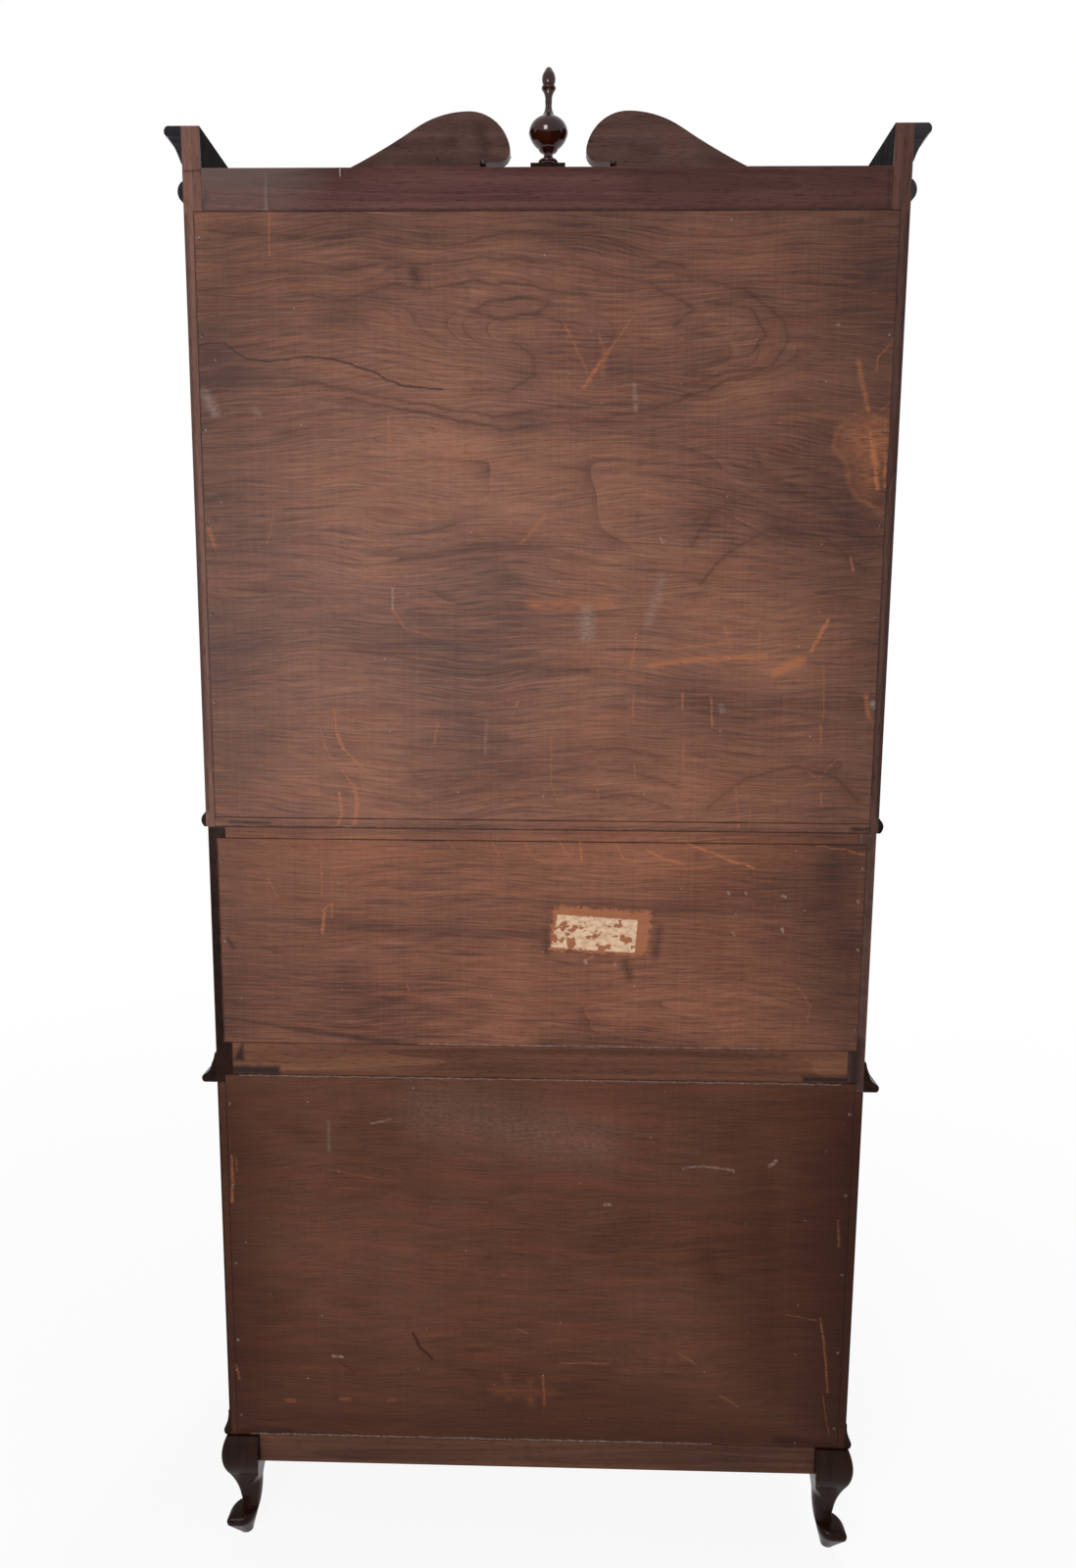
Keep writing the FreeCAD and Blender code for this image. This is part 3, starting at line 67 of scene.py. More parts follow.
# Camera that stands where the photograph was taken from, for an image of 1098 x 1600.
CAMERA_PLACE = (-0.02526, 1.51319, 1.24531)
CAMERA_YAW, CAMERA_TILT, CAMERA_ROLL = 0.0220, 0.13213, 0.00676
CAMERA_LENS, CAMERA_SENSOR = 23.357, 36.0      # mm
LAMPS = (("back_lamp", (0.7, 2.3, 1.3), 33), ("front_lamp", (-0.9, -2.7, 1.9), 48))      # place in m, and watts
LAMP_AIM = Vector((0, 0, 1.15))
SURROUND = 0.36             # strength of the white surround as a lamp. Where it is seen, it is 1.
FLOOR_FADE = (0.6, 2.6)     # distances in m between which the floor turns from nearly white to white
FLOOR_NEAR = 0.9            # how white it is under the case


def linear(code):
    """The linear RGBA of an sRGB hex value."""
    parts = [int(code[i:i + 2], 16) / 255 for i in (1, 3, 5)]
    return tuple(p / 12.92 if p <= 0.04045 else ((p + 0.055) / 1.055) ** 2.4 for p in parts) + (1.0,)


def colour(name, code, description):
    """A colour that the user may change, with its default as an sRGB hex value."""
    return bpy.props.FloatVectorProperty(
        name=name, description=description, default=linear(code), size=4, subtype="COLOR", min=0.0, max=1.0)


def length(name, metres, description):
    """A length that the user may change, in metres."""
    return bpy.props.FloatProperty(
        name=name, description=description, default=metres, min=0.0, subtype="DISTANCE", unit="LENGTH")


# Stripes of each wood: its name for the user, the dark and the light colour, and what it is on.
STRIPES = {
    "polish": ("Polished", "#170905", "#451f12", "the polished mahogany"),
    "black": ("Darkened polish", "#0c0504", "#28140d", "the legs and mouldings"),
    "red": ("Red stain", "#3b201f", "#66433d", "the top rail"),
    "brown": ("Brown stain", "#4f3024", "#80553f", "the desk rail and the rear apron"),
    "grey": ("Weathered", "#452f2d", "#684c44", "the pediment's bare back"),
    "soot": ("Sooty", "#211d21", "#3d393d", "the bare faces above the top"),
    "edge": ("Rear edge", "#482f29", "#77554a", "the sides' rear edges"),
    "turned": ("Turned", "#150504", "#3f150b", "the finial"),
    "upper": ("Upper back", "#4b312b", "#8d604c", "the bookcase's plywood back"),
    "desk": ("Desk back", "#4a2d25", "#8e5d47", "the desk's plywood back"),
    "base": ("Base back", "#472a1f", "#624031", "the base's plywood back"),
    "secondary": ("Secondary", "#8a6238", "#b98f5c", "the drawer linings"),
}


class BureauWoods(bpy.types.PropertyGroup):
    """Colours of the woods. The stripes' colours are added below."""
    polish_rubbed: colour("Polished, rubbed", "#5c3421", "Polished mahogany where an arris is rubbed")
    rubbed: colour("Stain, rubbed", "#6f4d40", "Stained boards where an arris is rubbed")
    late_line: colour("Late wood", "#38221f", "Dark late wood line of the plywood")
    ruddy: colour("Ruddy", "#83462f", "Ruddy streaks of the plywood")
    scuffed: colour("Scuffed", "#9f6343", "Plywood where the stain is scuffed away")
    dusty: colour("Dusty", "#b3a49c", "Rubbed, dusty marks on the plywood")
    # Also the colour of the painted shade that darkens the bookcase's and desk's backs towards their edges and
    # corners.
    stain: colour("Stain", "#2b1d1b", "Dark stains and checks in the plywood")
    # Colour of the base back's stains and of its painted shade, which darkens it towards its sides and bottom.
    char: colour("Char", "#260f09", "Dark red-brown edges of the base's plywood back")
    pore: colour("Pore", "#150907", "Open pores in the mahogany")


for key, (name, dark, light, piece) in STRIPES.items():
    for tone, code in (("dark", dark), ("light", light)):
        BureauWoods.__annotations__[key + "_" + tone] = colour(
            "%s, %s" % (name, tone), code, "%s stripe of %s" % (tone.capitalize(), piece))


class BureauFittings(bpy.types.PropertyGroup):
    """Colours of the brasses, nails, glass and paper."""
    brass: colour("Brass", "#b8924c", "Rubbed brass")
    tarnish: colour("Tarnish", "#5a4222", "Brass where it has tarnished")
    iron: colour("Iron", "#7d736b", "Bright iron of pins and nail heads")
    rust: colour("Rust", "#38261e", "Iron where it has rusted")
    glass: colour("Glass", "#f2f7f3", "Tint of the old window glass")
    paper: colour("Paper", "#d6b596", "Paper remnant on the desk's back")
    paper_stain: colour("Paper stain", "#8a6046", "Stained and rubbed paper")


class BureauSizes(bpy.types.PropertyGroup):
    """Sizes of the eased edges and the stage."""
    arris: length("Arris", 0.8 * MM, "Easing of a plain board's edges")
    leg_arris: length("Leg arris", 4.5 * MM, "Rounding of a leg's outer edges")
    fine_arris: length("Fine arris", 0.4 * MM, "Easing of thin boards, beads and brasses")
    paper: length("Paper", 0.3 * MM, "Thickness of the paper remnant")
    floor: length("Floor", 16.0, "Width of the floor")
    key: length("Key lamp", 0.8, "Width of the soft lamps")


class BureauSettings(bpy.types.PropertyGroup):
    """All that a user would change."""
    woods: bpy.props.PointerProperty(name="Woods", type=BureauWoods, description="Colours of the woods")
    fittings: bpy.props.PointerProperty(name="Fittings", type=BureauFittings, description="Colours of the fittings")
    sizes: bpy.props.PointerProperty(name="Sizes", type=BureauSizes, description="Sizes of edges and stage")


def settings():
    """What the user has set."""
    return bpy.context.scene.bureau


# Nodes

def fill(tree, made, inputs):
    """Sets or links the inputs of a node."""
    for key, value in inputs.items():
        if isinstance(value, bpy.types.NodeSocket):
            tree.links.new(value, made.inputs[key])
        else:
            made.inputs[key].default_value = value


def add(tree, kind, *values, inputs=None, out=0, **options):
    """Adds a node with its settings and links, and gives one of its outputs. Values go to its inputs in order, other
    inputs are given by name or number, and a kind may be followed by its operation."""
    kind, _, operation = kind.partition(" ")
    made = tree.nodes.new("ShaderNode" + kind)
    if operation:
        made.operation = operation
    for key, value in options.items():
        setattr(made, key, value)
    fill(tree, made, inputs or dict(enumerate(values)))
    return made.outputs[out]


def new_finish(name):
    """A material with its tree and its surface shader."""
    made = bpy.data.materials.new(name)
    made.use_nodes = True
    return made, made.node_tree, made.node_tree.nodes["Principled BSDF"]


def coats(tree, ground, layers):
    """Colours laid over a ground one after another, each by a share times its weight."""
    for share, weight, over in layers:
        share = add(tree, "Math MULTIPLY", share, weight)
        ground = add(tree, "Mix", inputs={0: share, 6: ground, 7: over}, out=2, data_type="RGBA")
    return ground


def streaks(tree, place, along, across, detail=2.0):
    """Soft noise in cells of a size along the grain and across it, in millimetres."""
    stretch = (1 / (along * MM), 1 / (across * MM), 1 / (across * MM))
    cells = add(tree, "VectorMath MULTIPLY", place, stretch)
    return add(tree, "TexNoise", inputs={"Vector": cells, "Scale": 1.0, "Detail": detail})


def scaled_sum(tree, parts):
    """The sum of values, each times its weight."""
    total = 0.0
    for value, weight in parts:
        total = add(tree, "Math MULTIPLY_ADD", value, weight, total)
    return total


def pairs(numbers):
    """The points (x, z) in a row of numbers."""
    return list(zip(numbers[::2], numbers[1::2]))


def gap_to(tree, flat, numbers):
    """How far a place lies from a line through points."""
    points = pairs(numbers)
    gap = 1.0
    for (x0, z0), (x1, z1) in zip(points, points[1:]):
        start, run = Vector((x0, 0, z0)) * MM, Vector((x1 - x0, 0, z1 - z0)) * MM
        reach = add(tree, "VectorMath SUBTRACT", flat, start)
        share = add(tree, "VectorMath DOT_PRODUCT", reach, run / run.length_squared, out="Value")
        share = add(tree, "Clamp", share)
        foot = add(tree, "VectorMath SCALE", inputs={0: run, "Scale": share})
        off = add(tree, "VectorMath DISTANCE", reach, foot, out="Value")
        gap = add(tree, "Math MINIMUM", gap, off)
    return gap


def marks(tree, flat, strokes):
    """How far a place lies in any stroke. A stroke holds the points it runs through, its half width and strength."""
    level = 0.0
    for *points, half, strength in strokes:
        near = add(tree, "MapRange", gap_to(tree, flat, points), half * MM, 0.0, 0.0, strength)
        level = add(tree, "Math MAXIMUM", level, near)
    return level


def growth_lines(tree, flat, lines):
    """Dark late wood lines through points, each with a soft band beside it."""
    gap = 1.0
    for points in lines:
        gap = add(tree, "Math MINIMUM", gap, gap_to(tree, flat, points))
    return scaled_sum(tree, [
        (add(tree, "MapRange", gap, half * MM, 0.0), weight) for half, weight in (LATE_LINE, LATE_BAND)])


def patches(tree, flat, quads, soft=1.5):
    """How far a place lies in any four-sided patch. Its corners run anticlockwise with x to the right."""
    level = 0.0
    for quad in quads:
        corners = pairs(quad)
        depth = 1.0
        for (x0, z0), (x1, z1) in zip(corners, corners[1:] + corners[:1]):
            inward = Vector((z0 - z1, 0, x1 - x0)).normalized()
            reach = add(tree, "VectorMath DOT_PRODUCT", flat, inward, out="Value")
            off = add(tree, "Math SUBTRACT", reach, inward.dot(Vector((x0, 0, z0)) * MM))
            depth = add(tree, "Math MINIMUM", depth, off)
        inside = add(tree, "MapRange", depth, -soft * MM, soft * MM)
        level = add(tree, "Math MAXIMUM", level, inside)
    return level


def flat_place(tree):
    """Where a point of the back lies, square on."""
    return add(tree, "VectorMath MULTIPLY", add(tree, "TexCoord", out="Object"), (1, 0, 1))


def torn_place(tree, flat, cell, shift):
    """The same place pushed about by noise in cells of a size, so that the edges of marks are ragged."""
    ragged = add(tree, "TexNoise", out="Color", inputs={
        "Vector": flat, "Scale": 1 / (cell * MM), "Detail": 4.0, "Roughness": 0.72})
    ragged = add(tree, "VectorMath SUBTRACT", ragged, (0.5, 0.5, 0.5))
    return add(tree, "VectorMath MULTIPLY_ADD", ragged, (shift * MM, 0, shift * MM), flat)


# Woods

RINGS = 11.0                 # growth rings in the whole range of the noise that carries them
LATE_LINE = (3.0, 0.4)       # half width in mm and weight of a late wood line
LATE_BAND = (14.0, 0.22)     # the same of the soft band beside it
SPECK_GAP = 105              # mm between specks of old paint


def solid_wood(name, stripes, rubbed, rough, shine, relief=0.12, stains_and_shade=(), blots=(), lines=()):
    """Planed solid wood. The eye gets long soft stripes that differ from board to board, short pore dashes
    along the grain, and a thin pale line where an arris is rubbed. relief is in mm."""
    made, tree, face = new_finish(name)
    woods = settings().woods
    place = add(tree, "Attribute", out="Vector", attribute_name="wood")
    board = add(tree, "Attribute", out="Fac", attribute_name="board")
    edge = add(tree, "Attribute", out="Fac", attribute_name="edge")
    stripe = streaks(tree, place, 700, 11, 3.0)
    cloud = streaks(tree, place, 260, 90)
    growth = add(tree, "Math MULTIPLY", streaks(tree, place, 900, 70, 1.0), RINGS)
    ring = add(tree, "Math FRACT", growth)
    # Pores are near 0.2 mm wide. They are drawn 1 mm wide so that they show.
    pore = add(tree, "MapRange", streaks(tree, place, 16, 1.0, 1.0), 0.58, 0.70)
    fibre = streaks(tree, place, 60, 2.2)
    total = scaled_sum(tree, [(stripe, 0.42), (cloud, 0.3), (ring, 0.1), (fibre, 0.18), (board, 0.22)])
    tone = add(tree, "MapRange", total, 0.34, 0.66)
    wear = add(tree, "MapRange", streaks(tree, place, 50, 16), 0.42, 0.66, 0.0, 0.7)
    layers = [(tone, 1.0, getattr(woods, stripes + "_light")), (pore, 0.45, woods.pore),
              (wear, edge, getattr(woods, rubbed))]
    if stains_and_shade or blots or lines:
        torn = torn_place(tree, flat_place(tree), 14, 5)
        layers += [(marks(tree, torn, stains_and_shade), 1.0, woods.stain), (patches(tree, torn, blots, 3.0), 1.0, woods.stain),
                   (marks(tree, torn, lines), 1.0, woods.dusty)]
    shade = coats(tree, getattr(woods, stripes + "_dark"), layers)
    gloss = scaled_sum(tree, [(pore, 0.16), (cloud, 0.12), (1.0, rough)])
    height = scaled_sum(tree, [(pore, -1.0), (fibre, 0.5)])
    normal = add(tree, "Bump", inputs={"Height": height, "Distance": relief * MM, "Strength": 0.5})
    fill(tree, face, {"Base Color": shade, "Roughness": gloss, "Normal": normal, "Specular IOR Level": shine})
    return made


def plywood(name, stripes, stained, shine, band_width, sway, line_share, stripe_share, hills, scuffs, dust, stains_and_shade,
            lines=(), bare=()):
    """Rotary-cut plywood, stained and left bare. The eye gets soft bands and hair-fine fibres that follow a level,
    wandering figure, a few dark late wood lines, pale specks, and scuffs down to orange wood."""
    made, tree, face = new_finish(name)
    woods = settings().woods
    flat = flat_place(tree)
    side = add(tree, "SeparateXYZ", flat, out="X")
    height = add(tree, "SeparateXYZ", flat, out="Z")
    edge = add(tree, "Attribute", out="Fac", attribute_name="edge")
    level = scaled_sum(tree, [(height, 1.0), (streaks(tree, flat, 340, 120), sway * MM)])
    calm = add(tree, "CombineXYZ", inputs={"X": side, "Z": level})
    for x, z, wide, tall, rise in hills:
        off = add(tree, "VectorMath SUBTRACT", flat, (x * MM, 0, z * MM))
        off = add(tree, "VectorMath MULTIPLY", off, (1 / (wide * MM), 0, 1 / (tall * MM)))
        near = add(tree, "VectorMath DOT_PRODUCT", off, off, out="Value")
        hill = add(tree, "Math POWER", 1 / math.e, near)
        level = add(tree, "Math MULTIPLY_ADD", hill, rise * MM, level)
    grown = add(tree, "CombineXYZ", inputs={"X": side, "Z": level})
    band = streaks(tree, grown, 420, band_width)
    stripe = streaks(tree, grown, 170, band_width / 5, 3.0)
    # Fibres and pores are under 0.3 mm wide. They are drawn near 2 mm wide so that they show.
    fibre = streaks(tree, calm, 55, 2.3, 3.0)
    pore = add(tree, "MapRange", streaks(tree, calm, 14, 1.6, 1.0), 0.56, 0.70)
    cloud = streaks(tree, flat, 280, 170)
    brush = streaks(tree, flat, 4, 260)
    rings = add(tree, "Math MULTIPLY", streaks(tree, grown, 900, 2.2 * band_width, 1.0), RINGS)
    phase = add(tree, "Math FRACT", rings)
    late = add(tree, "Math POWER", phase, 7.0)
    fade = add(tree, "MapRange", streaks(tree, flat, 220, 55), 0.38, 0.60)
    late = add(tree, "Math MULTIPLY", late, fade)
    parts = [
        (band, 0.16 * stripe_share), (stripe, 0.14 * stripe_share), (fibre, 0.45), (cloud, 0.42), (brush, 0.07)]
    middle = sum(weight for _, weight in parts) / 2
    tone = add(tree, "MapRange", scaled_sum(tree, parts), middle - 0.13, middle + 0.13)
    red = add(tree, "MapRange", streaks(tree, grown, 150, 16, 3.0), 0.46, 0.70)
    layers = [(tone, 1.0, getattr(woods, stripes + "_light")), (red, 0.2, woods.ruddy),
              (late, line_share, woods.late_line)]
    if lines:
        drawn = growth_lines(tree, torn_place(tree, flat, 45, 16), lines)
        layers.append((drawn, add(tree, "MapRange", cloud, 0.3, 0.6, 0.45), woods.late_line))
    torn = torn_place(tree, flat, 16, 6)
    scrape = add(tree, "MapRange", streaks(tree, flat, 14, 2.0, 3.0), 0.36, 0.62, 0.25, 1.25)
    raw = add(tree, "Math MULTIPLY", marks(tree, torn, scuffs), scrape)
    if bare:
        whole = add(tree, "MapRange", scrape, 0.25, 1.25, 0.6, 0.95)
        peeled = patches(tree, torn_place(tree, flat, 8, 26), bare)
        peeled = add(tree, "Math MULTIPLY", peeled, whole)
        raw = add(tree, "Math MAXIMUM", raw, peeled)
    speck = add(tree, "MapRange", streaks(tree, flat, 6, 3, 3.0), 0.35, 0.65, 0.1, 0.62)
    # Specks of old paint, near 1.5 mm across and a hand apart, some of them nearly worn away.
    sheet = add(tree, "CombineXYZ", inputs={"X": side, "Y": height})
    cells = {"Vector": sheet, "Scale": 1 / (SPECK_GAP * MM)}
    spot = add(tree, "TexVoronoi", inputs=cells, voronoi_dimensions="2D")
    pick = add(tree, "SeparateXYZ", add(tree, "TexVoronoi", inputs=cells, out="Color", voronoi_dimensions="2D"))
    drop = add(tree, "MapRange", spot, 0.6 / SPECK_GAP, 1.2 / SPECK_GAP, 0.55, 0.0)
    seam = add(tree, "MapRange", streaks(tree, flat, 60, 30), 0.35, 0.6, 0.0, 0.5)
    # The dark stroke list takes the colour named in stained: real stains, and painted shade where its wide strokes
    # darken the back towards its edges and corners.
    layers += [
        (pore, 0.32, woods.late_line), (marks(tree, torn, stains_and_shade), 1.0, getattr(woods, stained)),
        (raw, 1.0, woods.scuffed), (marks(tree, torn, dust), speck, woods.dusty), (drop, pick, woods.dusty),
        (seam, edge, woods.stain)]
    shade = coats(tree, getattr(woods, stripes + "_dark"), layers)
    gloss = scaled_sum(tree, [(fibre, 0.12), (cloud, 0.1), (raw, 0.12), (1.0, 0.42)])
    relief = scaled_sum(tree, [(fibre, 0.5), (late, -0.6), (pore, -0.5), (raw, -0.6)])
    normal = add(tree, "Bump", inputs={"Height": relief, "Distance": 0.12 * MM, "Strength": 0.4})
    fill(tree, face, {"Base Color": shade, "Roughness": gloss, "Normal": normal, "Specular IOR Level": shine})
    return made


# Marks on the boards and backs, in mm of the part's own x and z. Rows of STAINS, STAINS_AND_SHADE, DARKENING, SCUFFS,
# DUST and RAIL_LINES hold the points that a stroke runs through, its half width and its strength, and rows of
# UPPER_LINES hold points only. Rows of HILLS, which bend the figure, hold a middle, a width, a height and a rise. The
# others hold corners.
EDGE_STAINS = [
    (-419, 1012, -419, 690, 40, 0.55), (-412, 742, -412, 688, 26, 1.1), (425, 1750, 425, 1040, 5, 0.6),
    (-425, 1750, -425, 1040, 5, 0.7), (-420, 1700, -420, 1050, 40, 0.2), (425, 1800, 404, 1801, 2, 0.7)]
RAIL_STAINS = [
    (395, 1798, 240, 1801, 26, 0.45), (325, 1804, 325, 1757, 1.2, 0.6), (-120, 1786, -380, 1784, 40, 0.4),
    (400, 1776, 404, 1758, 6, 0.7), (-400, 1798, -402, 1758, 5, 0.6), (405, 1757, -405, 1757, 2.2, 0.7)]
RAIL_LINES = [
    (328, 1794, 329, 1758, 5.5, 0.2), (240, 1802, 240, 1794, 1.2, 0.6), (395, 1812, 330, 1814, 90, 0.16)]
# These wide strokes darken the whole apron.
APRON_DARKENING = [
    (380, 136, 330, 136, 40, 0.5), (-382, 138, -250, 136, 40, 0.5), (330, 136, -330, 136, 60, 0.5)]
RAIL_ENDS = [
    (341, 686, 415, 686, 415, 698, 341, 697), (-415, 686, -345, 686, -345, 695, -415, 695),
    (403, 704, 390, 728, 388, 728, 388, 704)]
HEAD_STAINS = [
    (200, 1921, 140, 1916, 24, 0.35), (95, 1961, 88, 1931, 14, 0.5), (155, 1922, 152, 1920, 5, 0.8),
    (-120, 1931, -150, 1930, 12, 0.4), (-300, 1886, -220, 1926, 22, 0.35), (300, 1886, 210, 1936, 20, 0.4)]

UPPER_HILLS = [
    (30, 1602, 170, 46, 80), (-200, 1583, 95, 36, 62), (40, 1302, 130, 20, 32), (-440, 1406, 240, 150, 70),
    (146, 1690, 50, 22, -24), (300, 1576, 190, 60, -28), (70, 1446, 150, 50, -24)]
UPPER_LINES = [
    (397, 1735, 296, 1727, 214, 1728, 133, 1718, 98, 1720, 40, 1731, -52, 1723, -121, 1706, -167, 1692),
    (350, 1689, 261, 1687, 191, 1700, 144, 1695, 98, 1700, 46, 1704, -41, 1695, -121, 1677, -179, 1647, -156, 1627),
    (297, 1664, 238, 1656, 179, 1676, 144, 1667, 86, 1678, 28, 1673, -52, 1660),
    (88, 1643, 62, 1655, 30, 1658, -6, 1655, 10, 1640, 50, 1636, 88, 1643),
    (399, 1566, 309, 1568, 238, 1554, 156, 1537, 63, 1523, -7, 1530, -100, 1536),
    (238, 1544, 144, 1525, 39, 1507, -54, 1518, -146, 1536, -261, 1577),
    (-156, 1684, -237, 1668, -283, 1634, -290, 1612, -273, 1583, -215, 1571, -169, 1559),
    (-191, 1656, -248, 1645, -266, 1617, -249, 1597, -209, 1586, -169, 1574),
    (36, 1610, 11, 1592, 10, 1570, 39, 1553, 86, 1555), (-181, 1373, -206, 1411, -261, 1440, -344, 1426, -389, 1378),
    (-197, 1325, -225, 1364, -280, 1392, -344, 1383, -394, 1344),
    (-211, 1049, -261, 1087, -316, 1101, -371, 1087, -399, 1058),
    (205, 1056, 159, 1049, 113, 1058, 68, 1051, 22, 1056, -42, 1070, -115, 1063, -161, 1049),
    (159, 1082, 104, 1075, 49, 1079, -5, 1089, -60, 1098, -115, 1094, -170, 1077),
    (86, 1111, 31, 1108, -42, 1120, -97, 1123, -152, 1113),
    (232, 1244, 187, 1237, 132, 1225, 68, 1218, 4, 1222, -60, 1218)]
UPPER_SCUFFS = [
    (-107, 1638, -78, 1598, 1.8, 0.6), (-78, 1598, -49, 1557, 4.2, 0.8), (-25, 1630, -53, 1574, 2.4, 0.45),
    (-65, 1619, -76, 1591, 2.4, 0.4), (-73, 1596, -71, 1573, 6, 0.45), (-375, 1586, -389, 1530, 4.8, 0.65),
    (-374, 1526, -354, 1508, -349, 1488, -368, 1469, -370, 1445, -382, 1429, -410, 1412, 6, 0.42),
    (-388, 1497, -398, 1496, 42, 0.8), (-388, 1478, -394, 1446, 26, 0.5),
    (-285, 1520, -332, 1525, -362, 1521, 7, 0.24), (-384, 1517, -412, 1518, 6, 0.7),
    (-393, 1504, -397, 1484, 4.5, 1.3), (-397, 1488, -401, 1466, 8, 1.5), (-400, 1472, -404, 1440, 5, 1.4),
    (-410, 1518, -413, 1442, 3.6, 0.7), (-414, 1539, -397, 1524, 1.4, 0.6),
    (-415, 1609, -398, 1592, -396, 1575, 1.6, 0.5), (-376, 1358, -380, 1342, 2.4, 0.7),
    (-352, 1282, -333, 1245, 4, 1.1), (-290, 1218, -322, 1234, 8.5, 1.4),
    (-136, 1226, -199, 1234, -277, 1238, 5.5, 1), (-165, 1246, -235, 1255, 2.4, 0.6),
    (-226, 1273, -235, 1249, 3.6, 0.55), (-269, 1232, -269, 1267, 3, 0.5), (-118, 1266, -111, 1222, 1.8, 0.7),
    (-116, 1189, -115, 1163, 1.8, 0.6), (-176, 1190, -177, 1170, 2.4, 0.7), (-212, 1188, -214, 1152, 2.2, 0.8),
    (-179, 1128, -180, 1098, 3.6, 0.5), (-118, 1103, -119, 1083, 2.4, 0.6),
    (-13, 1135, -14, 1076, -25, 1048, 1.4, 0.6), (-72, 1073, -73, 1058, 2.4, 0.5),
    (-246, 1074, -251, 1023, 3.6, 0.5), (-265, 1048, -265, 1024, 2.4, 0.5), (-349, 1154, -350, 1130, 1.7, 0.6),
    (-353, 1069, -354, 1051, 1.7, 0.7), (-350, 1224, -352, 1162, 1.4, 0.5), (-403, 1190, -408, 1164, 4.8, 0.7),
    (-332, 1098, -349, 1085, -371, 1112, 1.2, 0.5), (260, 1169, 257, 1141, 1.8, 0.7),
    (257, 1141, 249, 1118, 3.6, 0.9), (249, 1118, 221, 1091, 2.6, 0.8), (277, 1141, 272, 1120, 252, 1092, 1.3, 0.6),
    (252, 1092, 235, 1069, 2.4, 0.7), (235, 1069, 232, 1048, 236, 1024, 5.4, 0.85),
    (255, 1062, 253, 1035, 257, 1022, 3.6, 0.8), (184, 1293, 170, 1269, 139, 1261, 2.4, 0.5),
    (410, 1388, 403, 1367, 4.8, 0.6), (329, 1405, 339, 1371, 1.4, 0.4), (25, 1374, -6, 1408, 3.6, 0.6),
    (31, 1174, 27, 1180, 2.4, 0.8), (129, 1152, 134, 1125, 3.6, 0.45), (326, 1756, 326, 1706, 1.4, 0.7),
    (187, 1521, 185, 1493, 2.4, 0.6), (250, 1076, -250, 1076, 120, 0.14), (12, 1299, -88, 1302, 11, 0.6)]
UPPER_DUST = [
    (-56, 1290, -56, 1264, 14.4, 0.5), (-148, 1329, -132, 1278, 9.6, 0.3), (410, 1549, 398, 1527, 9.6, 0.5),
    (-109, 1560, -112, 1531, 4.8, 0.35), (-144, 1381, -148, 1374, 1.8, 0.8), (184, 1318, 184, 1294, 2.4, 0.6),
    (-412, 1183, -412, 1176, 4.8, 1), (-225, 1175, -226, 1171, 6, 0.5), (68, 1154, 70, 1114, 3, 0.3),
    (-348, 1628, -350, 1628, 2.4, 0.7), (349, 1530, 344, 1525, 6, 0.35)]
# Strokes of 50 mm half width or more here are painted shade, darkening the back towards its edges and corners; the
# narrower ones are stains and checks.
UPPER_STAINS_AND_SHADE = [
    (414, 1604, 403, 1608, 383, 1607, 369, 1596, 355, 1588, 330, 1586, 282, 1591, 254, 1589, 232, 1583, 204, 1574,
     188, 1565, 166, 1557, 121, 1554, 1.9, 1), (374, 1717, 398, 1625, 110, 0.4), (-404, 1716, -400, 1361, 170, 0.5),
    (377, 1143, 410, 1069, 84, 0.36), (154, 1688, 151, 1680, 10.8, 0.7), (415, 1751, 415, 1031, 2, 0.8),
    (-415, 1751, -415, 1031, 2, 0.7), (414, 1546, 400, 1186, 120, 0.3), (300, 1751, -300, 1751, 50, 0.3),
    (-410, 1316, -405, 1046, 120, 0.4), (261, 1629, 238, 1636, 33.6, 0.3), (404, 1401, 400, 1399, 9.6, 0.6),
    (-176, 1195, -370, 1089, 72, 0.2), (420, 1017.5, -420, 1017.5, 2.6, 0.95), (395, 1024, 345, 1023, 5, 0.85),
    (-396, 1022, -420, 1022, 9, 1), (340, 1023, -396, 1021, 4, 0.35)]

DESK_HILLS = [
    (-250, 816, 190, 70, -24), (330, 756, 210, 45, -26), (60, 836, 170, 40, 16), (-430, 846, 160, 90, 40)]
DESK_SCUFFS = [
    (278, 906, 280, 880, 3, 0.9), (280, 909, 267, 919, 268, 899, 1.9, 0.7), (280, 972, 280, 928, 1.7, 0.5),
    (349, 948, 338, 926, 1.4, 0.5), (267, 953, 267, 932, 1.4, 0.4),
    (-186, 1002, -218, 991, -240, 981, -272, 972, 2.2, 1.4), (-136, 993, -158, 981, -183, 975, 2.2, 1.5),
    (-24, 1003, -40, 981, 1.8, 0.9), (-51, 1003, -54, 976, 2, 1.1), (-96, 1003, -107, 981, -131, 978, 1.9, 0.9),
    (20, 1003, 10, 981, -8, 975, 1.8, 0.8), (62, 1002, 52, 984, 1.7, 0.7), (118, 1002, 104, 984, 1.6, 0.6),
    (-27, 998, -36, 978, 1.4, 0.7), (-41, 998, -44, 973, 1.4, 0.6), (-118, 991, -124, 977, 1.4, 0.6),
    (-350, 1001, -393, 995, -415, 987, 1.4, 0.7), (19, 1002, 1, 978, 1.8, 0.5), (330, 1002, 310, 980, 1.4, 0.45),
    (292, 994, 277, 979, 1.4, 0.45), (-334, 815, -351, 790, -348, 770, 1.4, 0.4), (171, 811, 169, 804, 1.8, 0.7),
    (-58, 847, -70, 852, 2.4, 0.9), (350, 986, -330, 986, 40, 0.2)]
DESK_DUST = [
    (-248, 886, -250, 884, 3, 0.6), (-181, 943, -182, 943, 2, 0.7), (-241, 939, -242, 937, 2.6, 1.2),
    (-263, 939, -264, 937, 2.2, 1), (-310, 935, -314, 934, 2.2, 1.1), (-311, 892, -312, 889, 3, 1.1),
    (-98, 843, -99, 841, 2.2, 1), (-59, 846, -61, 844, 3, 1.2), (-300, 730.5, 160, 730.5, 1.4, 0.8),
    (-405, 930, -407, 928, 2, 0.9)]
